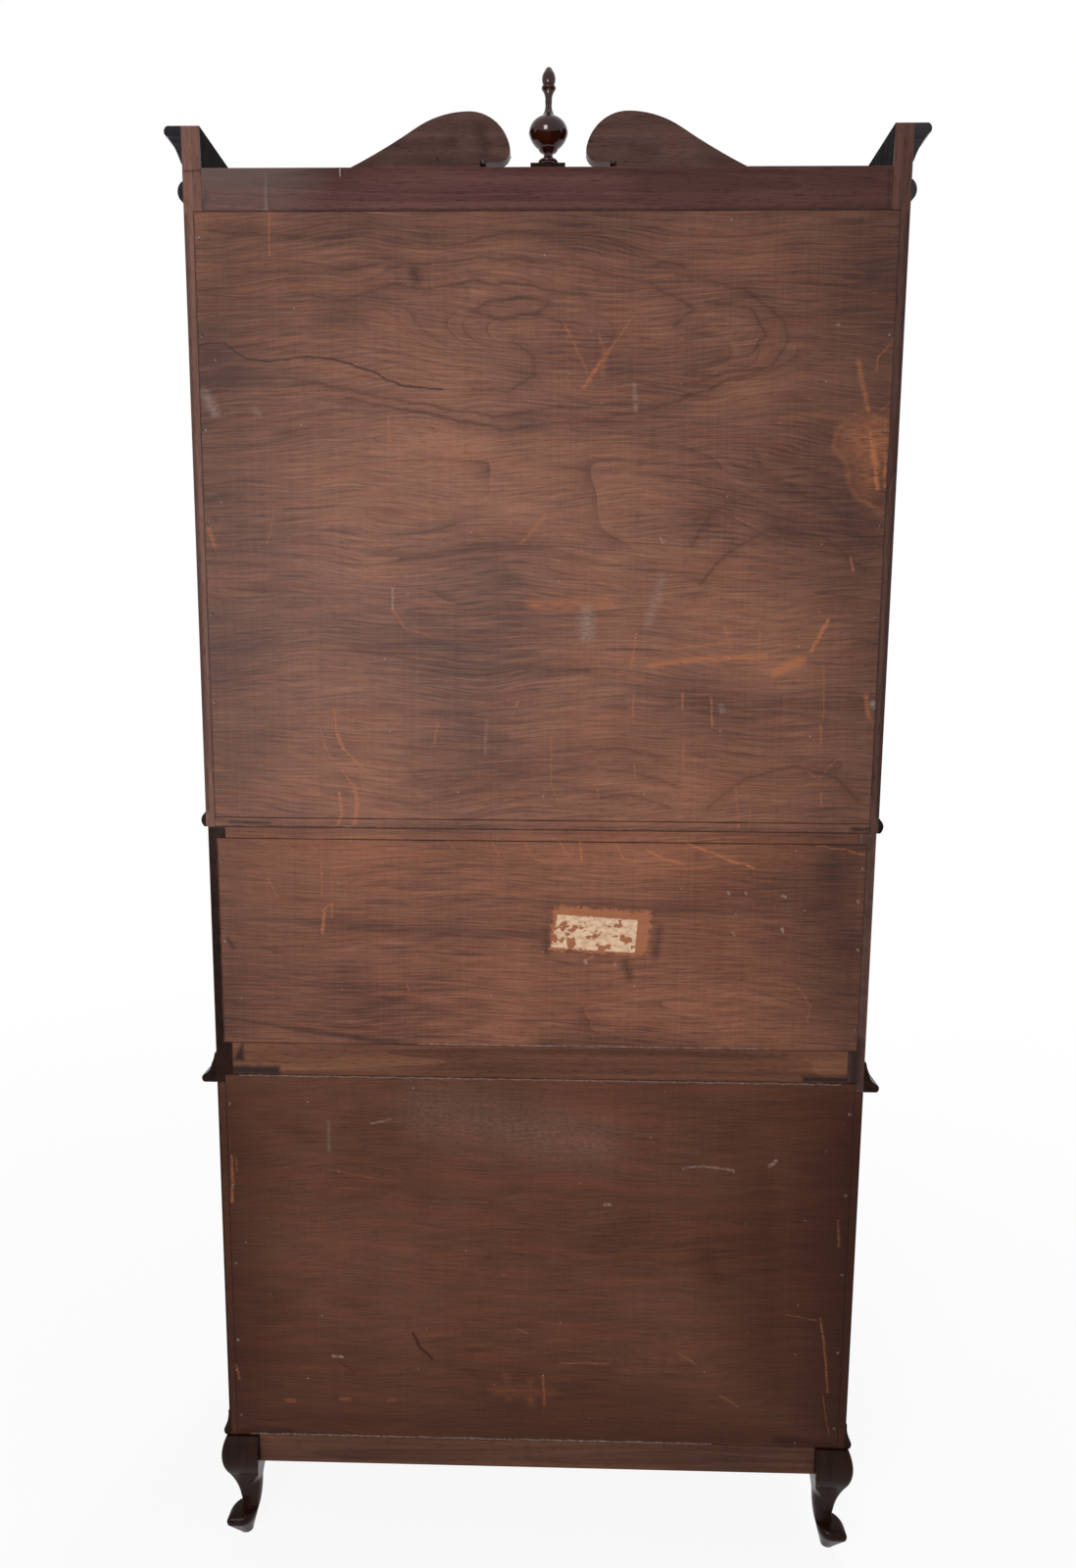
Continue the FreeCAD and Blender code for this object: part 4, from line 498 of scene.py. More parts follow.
# The two strokes of 150 and 190 mm half width are painted shade, darkening the back towards its sides; the others are
# stains and dark joints.
DESK_STAINS_AND_SHADE = [
    (404, 900, 191, 888, 12, 0.5), (191, 885, -12, 879, 9.6, 0.4), (413, 764, 314, 748, 162, 727, 8.4, 0.7),
    (-12, 920, -403, 911, 16.8, 0.3), (395, 951, 377, 945, 12, 0.4), (-13, 737, -413, 728, 21.6, 0.3),
    (-375, 979, -412, 751, 150, 0.6), (400, 990, 400, 745, 190, 0.45), (405, 871, 396, 856, 9.6, 0.8),
    (413, 996, 413, 734, 3, 0.8), (-413, 996, -413, 734, 2, 0.7), (-155, 891, -150, 854, 9, 0.5),
    (-8, 886, -10, 858, 9, 0.4), (-111, 845, -117, 826, 9.6, 0.6), (400, 1013, -400, 1013, 4, 0.2)]
BARE_PATCHES = [
    (-12.2, 860.1, -19.8, 918.3, -144.2, 912.2, -140.2, 855.5)]

BASE_HILLS = [
    (-200, 466, 200, 110, 34), (160, 406, 220, 90, 24)]
BASE_SCUFFS = [
    (409, 570, 409, 533, 411, 505, 2.9, 0.56), (403, 570, 403, 547, 1.6, 0.31), (8, 252, 6, 216, 8.4, 0.18),
    (-9, 258, -12, 215, 2.6, 0.5), (-32, 279, -101, 280, 1.6, 0.5), (41, 257, 38, 223, 9.6, 0.14),
    (54, 236, -18, 234, 16, 0.14), (-383, 353, -391, 305, -397, 244, 2.2, 0.5), (-195, 297, -216, 282, 1.9, 0.43),
    (-251, 236, -277, 220, 2.2, 0.43), (-337, 357, -377, 350, 1.4, 0.31), (-400, 494, -403, 458, 2.4, 0.37),
    (345, 214, 334, 213, 4.2, 0.43), (269, 218, 257, 217, 4.8, 0.37), (203, 217, 195, 218, 3.6, 0.25),
    (25, 328, 12, 321, 2.2, 0.37), (413, 266, 409, 244, 2.4, 0.5), (281, 555, 214, 541, 1.4, 0.25),
    (-391, 238, -402, 179, 1.4, 0.37)]
BASE_DUST = [
    (279, 282, 266, 281, 2.6, 1), (-193, 564, -218, 568, -259, 563, 2.4, 0.6), (-307, 570, -315, 577, 3.6, 0.8),
    (-90, 511, -97, 511, 2.6, 0.9), (221, 620, 195, 626, 1.9, 0.5), (278, 621, 278, 580, 3.6, 0.25),
    (-395, 684, 395, 684, 1.4, 0.6), (395, 162, -240, 162, 1.6, 0.9), (-80, 596, 150, 640, 60, 0.14)]
# Strokes of 110 mm half width or more are painted shade, darkening the back towards its sides and bottom; the others
# are stains and dark edges.
BASE_STAINS_AND_SHADE = [
    (168, 318, 158, 296, 142, 281, 3.6, 0.8), (270, 273, 248, 256, 1.9, 0.5), (-229, 436, -244, 408, 36, 0.35),
    (389, 631, 318, 606, 36, 0.4), (-415, 632, -415, 193, 150, 0.8), (415, 626, 410, 192, 110, 0.55),
    (414, 686, 345, 686, 6, 0.9), (-414, 686, -350, 686, 5, 0.8), (405, 166, 340, 166, 22, 0.7),
    (-405, 166, -330, 171, 26, 0.8), (330, 166, -360, 171, 110, 0.5), (-300, 546, -330, 246, 120, 0.45),
    (-415, 676, -415, 166, 2, 0.35), (415, 676, 415, 166, 2, 0.3), (425, 676, 425, 166, 7, 1.2),
    (-425, 676, -425, 166, 7, 1.2)]


# Metals, glass and paper

def aged_brass(name):
    """Cast and filed brass with old lacquer. The eye gets a warm soft shine on rubbed places and brown in hollows."""
    made, tree, face = new_finish(name)
    fittings = settings().fittings
    place = add(tree, "TexCoord", out="Object")
    patch = streaks(tree, place, 9, 9, 3.0)
    grit = streaks(tree, place, 1.2, 1.2)
    dull = add(tree, "MapRange", scaled_sum(tree, [(patch, 0.8), (grit, 0.2)]), 0.38, 0.66)
    shade = coats(tree, fittings.brass, [(dull, 1.0, fittings.tarnish)])
    gloss = scaled_sum(tree, [(dull, 0.22), (grit, 0.08), (1.0, 0.24)])
    normal = add(tree, "Bump", inputs={"Height": grit, "Distance": 0.05 * MM, "Strength": 0.3})
    fill(tree, face, {"Base Color": shade, "Roughness": gloss, "Metallic": 1.0, "Normal": normal})
    return made


def old_iron(name):
    """Drawn iron, filed bright and then rusted. The eye gets grey glints and brown spots."""
    made, tree, face = new_finish(name)
    fittings = settings().fittings
    place = add(tree, "TexCoord", out="Object")
    spot = add(tree, "MapRange", streaks(tree, place, 2.5, 2.5, 3.0), 0.34, 0.52)
    shade = coats(tree, fittings.iron, [(spot, 1.0, fittings.rust)])
    gloss = add(tree, "MapRange", spot, 0.0, 1.0, 0.42, 0.8)
    bright = add(tree, "MapRange", spot, 0.0, 1.0, 0.9, 0.05)
    normal = add(tree, "Bump", inputs={"Height": spot, "Distance": 0.08 * MM, "Strength": 0.4})
    fill(tree, face, {"Base Color": shade, "Roughness": gloss, "Metallic": bright, "Normal": normal})
    return made


def old_window_glass(name):
    """Drawn window glass. The eye gets slow waves in what shows through it, and lamps shine through it."""
    made, tree, face = new_finish(name)
    place = add(tree, "TexCoord", out="Object")
    wave = streaks(tree, place, 60, 140, 1.0)
    seed = add(tree, "MapRange", streaks(tree, place, 3, 5, 1.0), 0.72, 0.80)
    height = scaled_sum(tree, [(wave, 1.0), (seed, 0.1)])
    normal = add(tree, "Bump", inputs={"Height": height, "Distance": 0.4 * MM, "Strength": 0.35})
    fill(tree, face, {"Base Color": settings().fittings.glass, "Roughness": 0.02, "IOR": 1.5,
                      "Transmission Weight": 1.0, "Normal": normal})
    lamp = add(tree, "LightPath", out="Is Shadow Ray")
    clear = add(tree, "BsdfTransparent", inputs={"Color": settings().fittings.glass})
    fill(tree, tree.nodes["Material Output"],
         {"Surface": add(tree, "MixShader", lamp, face.outputs[0], clear)})
    return made


def foxed_paper(name):
    """Rag paper, glued down, rubbed and stained. The eye gets a cream ground with brown blots and fibre."""
    made, tree, face = new_finish(name)
    fittings = settings().fittings
    place = add(tree, "TexCoord", out="Object")
    blot = add(tree, "MapRange", streaks(tree, place, 9, 5, 4.0), 0.42, 0.66)
    fibre = streaks(tree, place, 2.4, 1.2)
    shade = coats(tree, fittings.paper, [(blot, fibre, fittings.paper_stain)])
    normal = add(tree, "Bump", inputs={"Height": fibre, "Distance": 0.08 * MM, "Strength": 0.5})
    gloss = add(tree, "MapRange", fibre, 0.0, 1.0, 0.75, 0.95)
    fill(tree, face, {"Base Color": shade, "Roughness": gloss, "Normal": normal, "Specular IOR Level": 0.2})
    return made


POLISHED, RED, BROWN = "French polished mahogany", "Red stained mahogany", "Brown stained mahogany"
DARKENED, WEATHERED, SOOTY = "Darkened mahogany", "Weathered mahogany", "Sooty mahogany"
EDGE, TURNED, LINING = "Edge stained mahogany", "Turned mahogany", "Oak lining"
FIGURED, STRIPED, DARK = "Figured plywood", "Striped plywood", "Dark plywood"
BRASS, IRON, GLASS, PAPER = "Aged brass", "Old iron", "Old window glass", "Foxed paper"
FINISHES = {
    # Show wood: stained deep red-brown and French polished, so it is near black in shade, with soft highlights.
    POLISHED: (solid_wood, dict(stripes="polish", rubbed="polish_rubbed", rough=0.22, shine=0.16, relief=0.03)),
    # Legs, mouldings and the finial's plinth: the same polish in near-black colours, with sharp small highlights.
    DARKENED: (solid_wood, dict(stripes="black", rubbed="polish_rubbed", rough=0.18, shine=0.08, relief=0.04)),
    # Finial: turned and French polished to a deep gloss, so red-black with crisp small highlights.
    TURNED: (solid_wood, dict(stripes="turned", rubbed="turned_light", rough=0.0, shine=0.4, relief=0.01)),
    # Rear edges of the bookcase and of one desk side: planed, and stained with the backs, so as brown.
    EDGE: (solid_wood, dict(stripes="edge", rubbed="edge_dark", rough=0.56, shine=0.12, stains_and_shade=EDGE_STAINS)),
    # Top rail: planed and stained, never polished, so dull and a little purple.
    RED: (solid_wood, dict(
        stripes="red", rubbed="rubbed", rough=0.56, shine=0.12, stains_and_shade=RAIL_STAINS, lines=RAIL_LINES)),
    # Desk rail, rear apron and the bookcase's bottom: planed, stained browner, with dark ends.
    BROWN: (solid_wood, dict(
        stripes="brown", rubbed="rubbed", rough=0.56, shine=0.12, stains_and_shade=APRON_DARKENING, blots=RAIL_ENDS)),
    # Back of the pediment: bare and dusty, with dark blotches.
    WEATHERED: (solid_wood, dict(stripes="grey", rubbed="grey_light", rough=0.6, shine=0.1, stains_and_shade=HEAD_STAINS)),
    # Bare faces that look back or inwards above the top: dull and black with dust.
    SOOTY: (solid_wood, dict(stripes="soot", rubbed="soot_light", rough=0.72, shine=0.03)),
    # Linings: plain planed oak, pale and dry.
    LINING: (solid_wood, dict(stripes="secondary", rubbed="secondary_light", rough=0.58, shine=0.2)),
    # Bookcase back: wide, warm brown figure with dark growth lines that wander and loop.
    FIGURED: (plywood, dict(
        stripes="upper", stained="stain", shine=0.16, band_width=30, sway=70, line_share=0.55, stripe_share=0.85,
        hills=UPPER_HILLS, scuffs=UPPER_SCUFFS, dust=UPPER_DUST, stains_and_shade=UPPER_STAINS_AND_SHADE, lines=UPPER_LINES)),
    # Desk back: narrow level stripes and a scraped patch where a paper was stuck.
    STRIPED: (plywood, dict(
        stripes="desk", stained="stain", shine=0.14, band_width=16, sway=34, line_share=0.45, stripe_share=1.0,
        hills=DESK_HILLS, scuffs=DESK_SCUFFS, dust=DESK_DUST, stains_and_shade=DESK_STAINS_AND_SHADE, bare=BARE_PATCHES)),
    # Base back: darker, with little figure, and red-brown painted shade towards its edges.
    DARK: (plywood, dict(
        stripes="base", stained="char", shine=0.08, band_width=42, sway=60, line_share=0.2, stripe_share=0.4,
        hills=BASE_HILLS, scuffs=BASE_SCUFFS, dust=BASE_DUST, stains_and_shade=BASE_STAINS_AND_SHADE)),
    BRASS: (aged_brass, {}),
    IRON: (old_iron, {}),
    GLASS: (old_window_glass, {}),
    PAPER: (foxed_paper, {}),
}


def finish(name):
    """The named finish, made the first time that a piece asks for it."""
    maker, look = FINISHES[name]
    return bpy.data.materials.get(name) or maker(name, **look)


# Boards

FLAT_ANGLE = math.radians(0.4)      # faces that meet at less are one flat face
SHARP_ANGLE = math.radians(28)      # edges that turn more are eased
CREASE_ANGLE = math.radians(40)     # edges that turn less are shaded smooth
EASE_STEPS = 2                      # faces across an eased edge
GRAIN_SHIFT = 20                    # m, most that a board's grain is shifted, so that no two boards match
TONE_SPREAD = 0.5                   # most that a board is lighter or darker than its finish
REAR_DEPTH = 3 * MM                 # how far from a solid's very back its rear faces lie at most
REAR_TILT = 0.5                     # least y of a rear face's normal
TOP_SLACK = 1 * MM                  # how far below the bookcase's top the sooty faces start
LEVEL_GAP = 0.3 * MM                # least height between two levels of a leg
LEVEL_SLACK = 0.01 * MM             # how far from a level an edge may end and still reach it
LEG_ROUND = (0.42, 0.5)             # radius of the inner corner and of the two beside it, as shares of a leg's width
LEG_EDGE = 0.4                      # most that the outer corner's radius may be, as such a share
LEG_LEAST = 0.8 * MM                # radius of the other corners beside the aprons
LEG_EASE = 20 * MM                  # height below the aprons over which they grow round
LEG_STEPS = 6                       # steps round each corner
FINE = "fine_arris"                 # the easing of thin boards, beads and mouldings


def solids_of(node):
    """Each closed solid of a node as its triangles. The triangles of one solid are stored one after another."""
    mesh = frame["nodes"][node].data
    points = [tuple(round(c, 6) for c in v.co) for v in mesh.vertices]
    solids, faces, loose = [], [], set()
    for polygon in mesh.polygons:
        corners = [points[i] for i in polygon.vertices]
        faces.append(corners)
        for start, end in zip(corners, corners[1:] + corners[:1]):
            if (end, start) in loose:
                loose.remove((end, start))
            elif start != end:
                loose.add((start, end))
        if not loose:
            solids.append(faces)
            faces = []
    if faces:
        raise RuntimeError(node + " has an open solid")
    return solids


def solid_mesh(triangles):
    """A bmesh of one solid, with its flat faces made whole."""
    bm = bmesh.new()
    corners = {}
    for triangle in triangles:
        if len(set(triangle)) < 3:
            continue
        for point in triangle:
            if point not in corners:
                corners[point] = bm.verts.new(point)
        bm.faces.new([corners[point] for point in triangle])
    bmesh.ops.dissolve_limit(bm, angle_limit=FLAT_ANGLE, verts=bm.verts[:], edges=bm.edges[:])
    bm.normal_update()
    return bm


def board_axes(bm, grain):
    """The ways along, across and through a board. Its largest face looks through it, and grain may be given."""
    through = max(bm.faces, key=lambda f: f.calc_area()).normal.copy()
    ways = [Vector((1, 0, 0)), Vector((0, 1, 0)), Vector((0, 0, 1))]
    if grain is not None:
        along = Vector(grain)
        across = min(ways, key=lambda w: abs(w.dot(along)))
        return along, across, along.cross(across)
    first = min(ways, key=lambda w: round(abs(w.dot(through)), 4))
    first = (first - through * first.dot(through)).normalized()
    second = through.cross(first)

    def reach(way):
        spots = [v.co.dot(way) for v in bm.verts]
        return max(spots) - min(spots)

    return (first, second, through) if reach(first) >= reach(second) else (second, first, through)


def eased(bm, arris):
    """Eases a solid's sharp edges and gives the new narrow faces."""
    sharp = [e for e in bm.edges if e.is_manifold and e.calc_face_angle() > SHARP_ANGLE]
    if not arris or not sharp:
        return []
    made = bmesh.ops.bevel(bm, geom=sharp, offset=arris, offset_type="OFFSET", segments=EASE_STEPS, profile=0.5,
                           affect="EDGES", clamp_overlap=True)
    return made["faces"]


def leg_levels(triangles):
    """How far a leg reaches in x and y at each height where its outline bends."""
    heights = []
    for z in sorted({round(point[2], 4) for triangle in triangles for point in triangle}):
        if not heights or z - heights[-1] > LEVEL_GAP:
            heights.append(z)
    levels = []
    for z in heights:
        cut = []
        for triangle in triangles:
            for start, end in zip(triangle, triangle[1:] + triangle[:1]):
                low, high = (start, end) if start[2] <= end[2] else (end, start)
                if low[2] - LEVEL_SLACK <= z <= high[2] + LEVEL_SLACK:
                    rise = high[2] - low[2]
                    share = min(max((z - low[2]) / rise, 0.0), 1.0) if rise > 2 * LEVEL_SLACK else 0.0
                    cut.append(Vector(low).lerp(Vector(high), share))
        levels.append((z, min(p.x for p in cut), max(p.x for p in cut), min(p.y for p in cut), max(p.y for p in cut)))
    return levels


def carved_leg(triangles):
    """A leg as a section that swells and narrows, sharp at its outer corner and round at the other three below
    the aprons."""
    bm = bmesh.new()
    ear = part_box("aprons")[0].z
    full = settings().sizes.leg_arris
    levels = leg_levels(triangles)
    out_x = math.copysign(1, levels[0][1] + levels[0][2])
    out_y = math.copysign(1, levels[0][3] + levels[0][4])
    rings = []
    for z, x0, x1, y0, y1 in levels:
        wide = min(x1 - x0, y1 - y0)
        ease = min(max((ear - z) / LEG_EASE, 0.0), 1.0)
        ring = []
        for turn, (sign_x, sign_y) in enumerate(((1, 1), (-1, 1), (-1, -1), (1, -1))):
            outward = (sign_x == out_x) + (sign_y == out_y)
            radius = min(full, LEG_EDGE * wide) if outward == 2 else LEG_LEAST + ease * LEG_ROUND[outward] * wide
            middle = Vector(((x1 if sign_x > 0 else x0) - sign_x * radius,
                             (y1 if sign_y > 0 else y0) - sign_y * radius, z))
            for step in range(LEG_STEPS + 1):
                angle = (turn + step / LEG_STEPS) * math.pi / 2
                ring.append(bm.verts.new(middle + radius * Vector((math.cos(angle), math.sin(angle), 0))))
        rings.append(ring)
    for lower, upper in zip(rings, rings[1:]):
        for i in range(len(lower)):
            j = (i + 1) % len(lower)
            bm.faces.new((lower[i], lower[j], upper[j], upper[i]))
    bm.faces.new(list(reversed(rings[0])))
    bm.faces.new(rings[-1])
    bm.normal_update()
    return bm


def new_piece(name, bm, finishes):
    """An object of a bmesh with its finishes, linked to the scene."""
    mesh = bpy.data.meshes.new(name)
    bm.to_mesh(mesh)
    bm.free()
    for made in finishes:
        mesh.materials.append(made)
    piece = bpy.data.objects.new(name, mesh)
    bpy.context.scene.collection.objects.link(piece)
    return piece


def boards(node, finishes, arris="arris", grain=None, turned=(), back=(), sooty=False, shape=solid_mesh):
    """One piece for a node: its solids with eased arrises, and a grain that follows each board's own length.

    finishes holds a finish for each solid, and the last goes on for the rest. arris names the size of its easing,
    if any. Solids in turned keep their edges.
    Faces at a solid's very back take the finish in back, one for each solid in the same way. Inward faces above the
    bookcase's top are sooty if asked.
    """
    ease = getattr(settings().sizes, arris) if arris else 0.0
    names = list(dict.fromkeys(list(finishes) + list(back) + ([SOOTY] if sooty else [])))
    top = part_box("bookcase_top_rail")[1].z
    joined = bmesh.new()
    draw = random.Random(node)
    for index, triangles in enumerate(solids_of(node)):
        bm = shape(triangles)
        axes = board_axes(bm, grain)
        narrow = [] if index in turned else eased(bm, ease)
        wood = bm.verts.layers.float_vector.new("wood")
        tone = bm.verts.layers.float.new("board")
        edge = bm.loops.layers.float.new("edge")
        shift = Vector([draw.uniform(0, GRAIN_SHIFT) for _ in range(3)])
        level = draw.uniform(-TONE_SPREAD, TONE_SPREAD)
        for vert in bm.verts:
            vert[wood] = Vector([vert.co.dot(way) for way in axes]) + shift
            vert[tone] = level
        for face in narrow:
            for loop in face.loops:
                loop[edge] = 1.0
        slot = names.index(finishes[min(index, len(finishes) - 1)])
        rear = max(vert.co.y for vert in bm.verts)
        for face in bm.faces:
            face.smooth = True
            face.material_index = slot
            middle = face.calc_center_median()
            if back and face.normal.y > REAR_TILT and middle.y > rear - REAR_DEPTH:
                face.material_index = names.index(back[min(index, len(back) - 1)])
            elif sooty and middle.z > top - TOP_SLACK and face.normal.x * middle.x <= 0:
                face.material_index = names.index(SOOTY)
        for line in bm.edges:
            line.smooth = not line.is_manifold or line.calc_face_angle() < CREASE_ANGLE
        part = bpy.data.meshes.new("part")
        bm.to_mesh(part)
        bm.free()
        joined.from_mesh(part)
        bpy.data.meshes.remove(part)
    piece = new_piece(node + "_boards", joined, [finish(name) for name in names])
    evened = piece.modifiers.new("Even faces", "WEIGHTED_NORMAL")
    evened.keep_sharp = True
    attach(piece, BODY_OF[node])
    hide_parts(node)


def dress(node, name):
    """Gives a CAD node whose shape is right its finish."""
    for slot in frame["nodes"][node].material_slots:
        slot.material = finish(name)


# Operators

class BUREAU_OT_base_case(bpy.types.Operator):
    """Makes the base's sides, rails, runners, aprons and moulding"""
    bl_idname = "bureau.base_case"
    bl_label = "Base case"

    def execute(self, context):
        boards("base_sides", [POLISHED], back=[DARK])
        boards("drawer_rails", [POLISHED])
        boards("base_moulding", [DARKENED], FINE)
        boards("aprons", [POLISHED, BROWN, POLISHED])
        boards("base_bottom_board", [LINING])
        boards("drawer_runners", [LINING])
        return {"FINISHED"}


class BUREAU_OT_legs(bpy.types.Operator):
    """Makes the four scrolled legs"""
    bl_idname = "bureau.legs"
    bl_label = "Legs"

    def execute(self, context):
        for row in ("front", "rear"):
            boards(row + "_legs", [DARKENED], None, grain=(0, 0, 1), shape=carved_leg)
        return {"FINISHED"}


class BUREAU_OT_desk_case(bpy.types.Operator):
    """Makes the desk's sides, bed, top, rails and moulding"""
    bl_idname = "bureau.desk_case"
    bl_label = "Desk case"

    def execute(self, context):
        boards("desk_sides", [POLISHED], back=[DARKENED, EDGE])
        boards("loper_housing", [POLISHED])
        boards("writing_bed", [POLISHED])
        boards("desk_top_board", [POLISHED], back=[STRIPED])
        boards("desk_back_rail", [BROWN])
        boards("desk_moulding", [DARKENED], FINE)
        boards("desk_bottom_board", [LINING])
        return {"FINISHED"}


class BUREAU_OT_pigeonholes(bpy.types.Operator):
    """Makes the pigeonholes and their small drawers"""
    bl_idname = "bureau.pigeonholes"
    bl_label = "Pigeonholes"

    def execute(self, context):
        boards("pigeonholes", [LINING], FINE)
        for place in SMALL_DRAWERS:
            boards("small_drawer_" + place, [LINING] * 5 + [BRASS], FINE, turned=(5,))
        return {"FINISHED"}


class BUREAU_OT_bookcase(bpy.types.Operator):
    """Makes the bookcase's sides, shelves, boards, rail and beads"""
    bl_idname = "bureau.bookcase"
    bl_label = "Bookcase"

    def execute(self, context):
        boards("bookcase_sides", [POLISHED], back=[EDGE], sooty=True)
        boards("bookcase_top_rail", [RED])
        boards("bookcase_shelves", [POLISHED])
        boards("bookcase_bottom_board", [BROWN], back=[FIGURED])
        boards("bookcase_top_board", [LINING])
        boards("necking_bead", [DARKENED], FINE, back=[SOOTY])
        boards("waist_moulding", [DARKENED], FINE)
        dress("shelf_pins", BRASS)
        return {"FINISHED"}


class BUREAU_OT_pediment(bpy.types.Operator):
    """Makes the scrolled pediment, its cornice, rosettes and finial"""
    bl_idname = "bureau.pediment"
    bl_label = "Pediment"

    def execute(self, context):
        boards("pediment_board", [POLISHED], grain=(1, 0, 0), back=[WEATHERED])
        boards("cornice", [DARKENED], FINE, grain=(1, 0, 0), back=[SOOTY])
        boards("rosettes", [POLISHED], None, grain=(1, 0, 0))
        boards("finial_plinth", [DARKENED], grain=(0, 0, 1))
        boards("finial", [TURNED], None, grain=(0, 0, 1))
        return {"FINISHED"}


class BUREAU_OT_backs(bpy.types.Operator):
    """Makes the three plywood backs with their nails"""
    bl_idname = "bureau.backs"
    bl_label = "Backs"

    def execute(self, context):
        for node, name in (("bookcase_back_panel", FIGURED), ("desk_back_panel", STRIPED), ("base_back_panel", DARK)):
            boards(node, [name])
        dress("back_panel_nails", IRON)
        return {"FINISHED"}


PAPER_CORNERS = (-14.3, 862.8, -124.2, 856.7, -23.2, 908.1, -127.2, 901.9)      # mm, both low ones first
PAPER_CELLS = (150, 62)      # cells along the paper and up it
PAPER_SHAPE = 0.42           # its height as a share of its length
# Noise that wears the paper: its cells along the paper and up it, and the level that it is cut at.
PAPER_NOISE = {"fray": (70, 30, 2.3), "holes": (9, 4.6, 0.4), "pits": (21, 10, 5.1), "cockle": (14, 6, 9.0)}
PAPER_RISE, PAPER_COCKLE = 0.2 * MM, 0.12 * MM      # how far the paper stands off the panel, and how that varies


class BUREAU_OT_paper(bpy.types.Operator):
    """Makes the torn blank paper on the desk's back"""
    bl_idname = "bureau.paper"
    bl_label = "Paper remnant"

    def execute(self, context):
        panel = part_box("desk_back_panel")[1].y
        corners = [Vector((x, 0, z)) * MM for x, z in pairs(PAPER_CORNERS)]
        columns, rows = PAPER_CELLS
        bm = bmesh.new()
        spots = {}

        def wear(kind, u, v):
            along, up, level = PAPER_NOISE[kind]
            return noise.noise(Vector((u * along, v * up, level)))

        def worn(u, v):
            """Whether the paper is gone at a share of its length and height."""
            fray = wear("fray", u, v)
            holes = wear("holes", u, v) + 0.5 * wear("pits", u, v) + 0.24 * fray
            rim = min(u, 1 - u, v * PAPER_SHAPE, (1 - v) * PAPER_SHAPE)
            return rim < 0.008 + 0.012 * fray or holes > 0.14 + 0.2 * u + 0.12 * v

        def spot(i, j):
            """The corner of a cell, a little cockled."""
            if (i, j) not in spots:
                u, v = i / columns, j / rows
                place = corners[0].lerp(corners[1], u).lerp(corners[2].lerp(corners[3], u), v)
                place.y = panel + PAPER_RISE + PAPER_COCKLE * wear("cockle", u, v)
                spots[i, j] = bm.verts.new(place)
            return spots[i, j]

        for i in range(columns):
            for j in range(rows):
                if not worn((i + 0.5) / columns, (j + 0.5) / rows):
                    bm.faces.new([spot(i, j), spot(i, j + 1), spot(i + 1, j + 1), spot(i + 1, j)])
        bmesh.ops.recalc_face_normals(bm, faces=bm.faces[:])
        piece = new_piece("paper_remnant", bm, [finish(PAPER)])
        sheet = piece.modifiers.new("Sheet", "SOLIDIFY")
        sheet.thickness, sheet.offset = settings().sizes.paper, 0.0
        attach(piece, "carcass")
        return {"FINISHED"}


class BUREAU_OT_doors(bpy.types.Operator):
    """Makes the two glazed doors and their hinges"""
    bl_idname = "bureau.doors"
    bl_label = "Doors"

    def execute(self, context):
        for side in SIDES:
            boards("door_%s_frame" % side, [POLISHED])
            dress("door_%s_glass" % side, GLASS)
            dress("door_%s_brass" % side, BRASS)
        dress("fixed_hinge_leaves", BRASS)
        dress("hinge_pins", IRON)
        return {"FINISHED"}


class BUREAU_OT_fall(bpy.types.Operator):
    """Makes the slant fall and the two lopers under it"""
    bl_idname = "bureau.fall"
    bl_label = "Fall"

    def execute(self, context):
        boards("fall_board", [POLISHED])
        dress("fall_brass", BRASS)
        for side in SIDES:
            boards("loper_" + side, [POLISHED, BRASS], turned=(1,))
        return {"FINISHED"}


class BUREAU_OT_drawers(bpy.types.Operator):
    """Makes the three long drawers with their pulls"""
    bl_idname = "bureau.drawers"
    bl_label = "Drawers"

    def execute(self, context):
        for level in DRAWERS:
            boards("drawer_" + level, [POLISHED, LINING])
            dress("drawer_%s_pulls" % level, BRASS)
            for side in SIDES:
                dress("drawer_%s_bail_%s" % (level, side), BRASS)
        return {"FINISHED"}


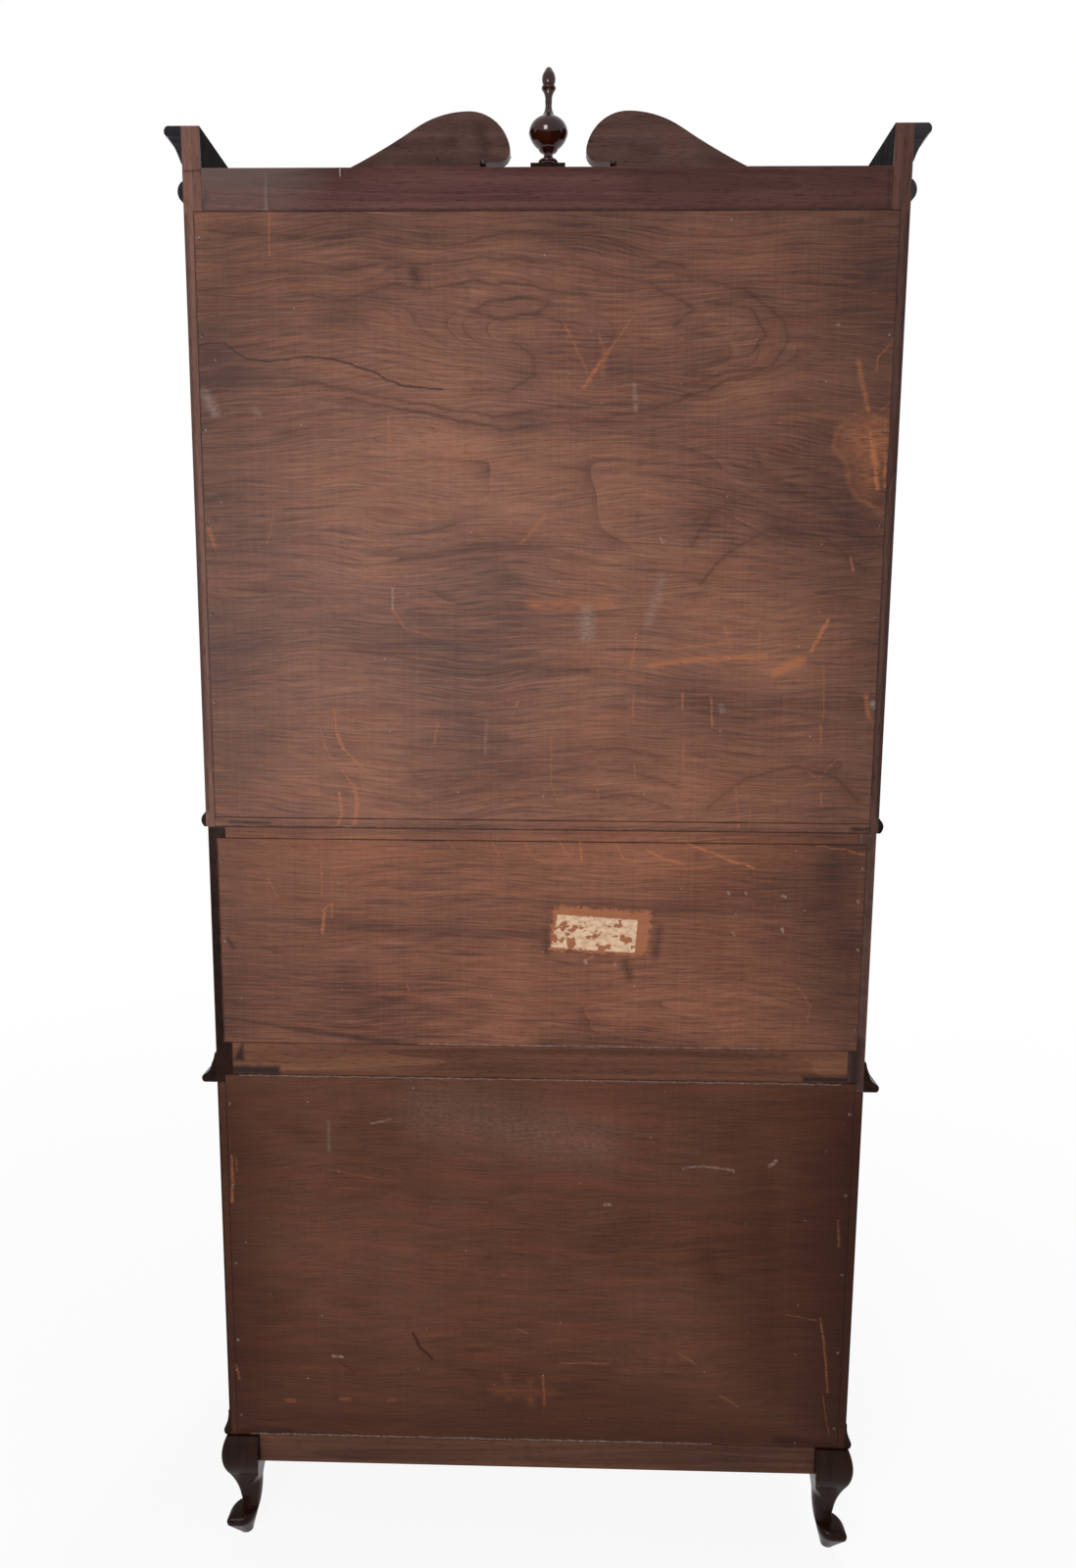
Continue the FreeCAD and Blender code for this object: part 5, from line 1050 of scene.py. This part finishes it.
class BUREAU_OT_stage(bpy.types.Operator):
    """Makes the floor, the soft lamps, the white surround and the camera"""
    bl_idname = "bureau.stage"
    bl_label = "Stage"

    def execute(self, context):
        scene = context.scene
        made, tree, face = new_finish("Matt white paper")
        fill(tree, face, {"Base Color": linear("#f4f4f4"), "Roughness": 0.9, "Specular IOR Level": 0.0})
        white = add(tree, "Emission", inputs={"Color": (1, 1, 1, 1), "Strength": 1.0})
        away = add(tree, "VectorMath LENGTH", add(tree, "TexCoord", out="Object"), out="Value")
        fade = add(tree, "MapRange", away, FLOOR_FADE[0], FLOOR_FADE[1], FLOOR_NEAR)
        share = add(tree, "Math MULTIPLY", self.seen(tree), fade)
        fill(tree, tree.nodes["Material Output"],
             {"Surface": add(tree, "MixShader", share, face.outputs[0], white)})
        bm = bmesh.new()
        bmesh.ops.create_grid(bm, x_segments=2, y_segments=2, size=settings().sizes.floor / 2)
        floor = new_piece("floor", bm, [made])

        world = bpy.data.worlds.new("White surround")
        scene.world = world
        world.use_nodes = True
        tree = world.node_tree
        level = add(tree, "MapRange", self.seen(tree), 0.0, 1.0, SURROUND)
        fill(tree, tree.nodes["Background"], {"Color": (1, 1, 1, 1), "Strength": level})

        for name, place, watts in LAMPS:
            lamp = bpy.data.lights.new(name, "AREA")
            lamp.shape, lamp.size, lamp.energy = "SQUARE", settings().sizes.key, watts
            holder = bpy.data.objects.new(name, lamp)
            # The front lamp would show in the door glass as a white square.
            holder.visible_glossy = name == "back_lamp"
            holder.location = place
            holder.rotation_euler = (LAMP_AIM - Vector(place)).to_track_quat("-Z", "Y").to_euler()
            scene.collection.objects.link(holder)

        lens = bpy.data.cameras.new("camera")
        lens.sensor_width = CAMERA_SENSOR
        lens.lens = CAMERA_LENS
        lens.dof.use_dof = False
        camera = bpy.data.objects.new("camera", lens)
        turn = (Matrix.Rotation(math.pi + CAMERA_YAW, 4, "Z") @ Matrix.Rotation(math.pi / 2 - CAMERA_TILT, 4, "X")
                @ Matrix.Rotation(CAMERA_ROLL, 4, "Z"))
        camera.matrix_world = Matrix.Translation(CAMERA_PLACE) @ turn
        scene.collection.objects.link(camera)
        scene.camera = camera
        scene.view_settings.view_transform = "Standard"
        return {"FINISHED"}

    @staticmethod
    def seen(tree):
        """1 where the camera, a mirror or a pane looks, and 0 where light is gathered."""
        total = 0.0
        for ray in ("Is Camera Ray", "Is Glossy Ray", "Is Transmission Ray"):
            look = add(tree, "LightPath", out=ray)
            total = add(tree, "Math ADD", total, look, use_clamp=True)
        return total


OPERATORS = (
    BUREAU_OT_base_case, BUREAU_OT_legs, BUREAU_OT_desk_case, BUREAU_OT_pigeonholes, BUREAU_OT_bookcase,
    BUREAU_OT_pediment, BUREAU_OT_backs, BUREAU_OT_paper, BUREAU_OT_doors, BUREAU_OT_fall, BUREAU_OT_drawers,
    BUREAU_OT_stage)


class BUREAU_PT_panel(bpy.types.Panel):
    """Lists what dresses the bureau bookcase"""
    bl_idname = "BUREAU_PT_panel"
    bl_label = "Bureau bookcase"
    bl_space_type = "VIEW_3D"
    bl_region_type = "UI"
    bl_category = "Bureau"

    def draw(self, context):
        for operator in OPERATORS:
            self.layout.operator(operator.bl_idname)


CLASSES = (BureauWoods, BureauFittings, BureauSizes, BureauSettings) + OPERATORS + (BUREAU_PT_panel,)


def register():
    for kind in CLASSES:
        bpy.utils.register_class(kind)
    bpy.types.Scene.bureau = bpy.props.PointerProperty(name="Bureau", type=BureauSettings)


def unregister():
    del bpy.types.Scene.bureau
    for kind in reversed(CLASSES):
        bpy.utils.unregister_class(kind)


def main():
    register()
    for operator in OPERATORS:
        group, name = operator.bl_idname.split(".")
        getattr(getattr(bpy.ops, group), name)()


if __name__ == "__main__":
    main()
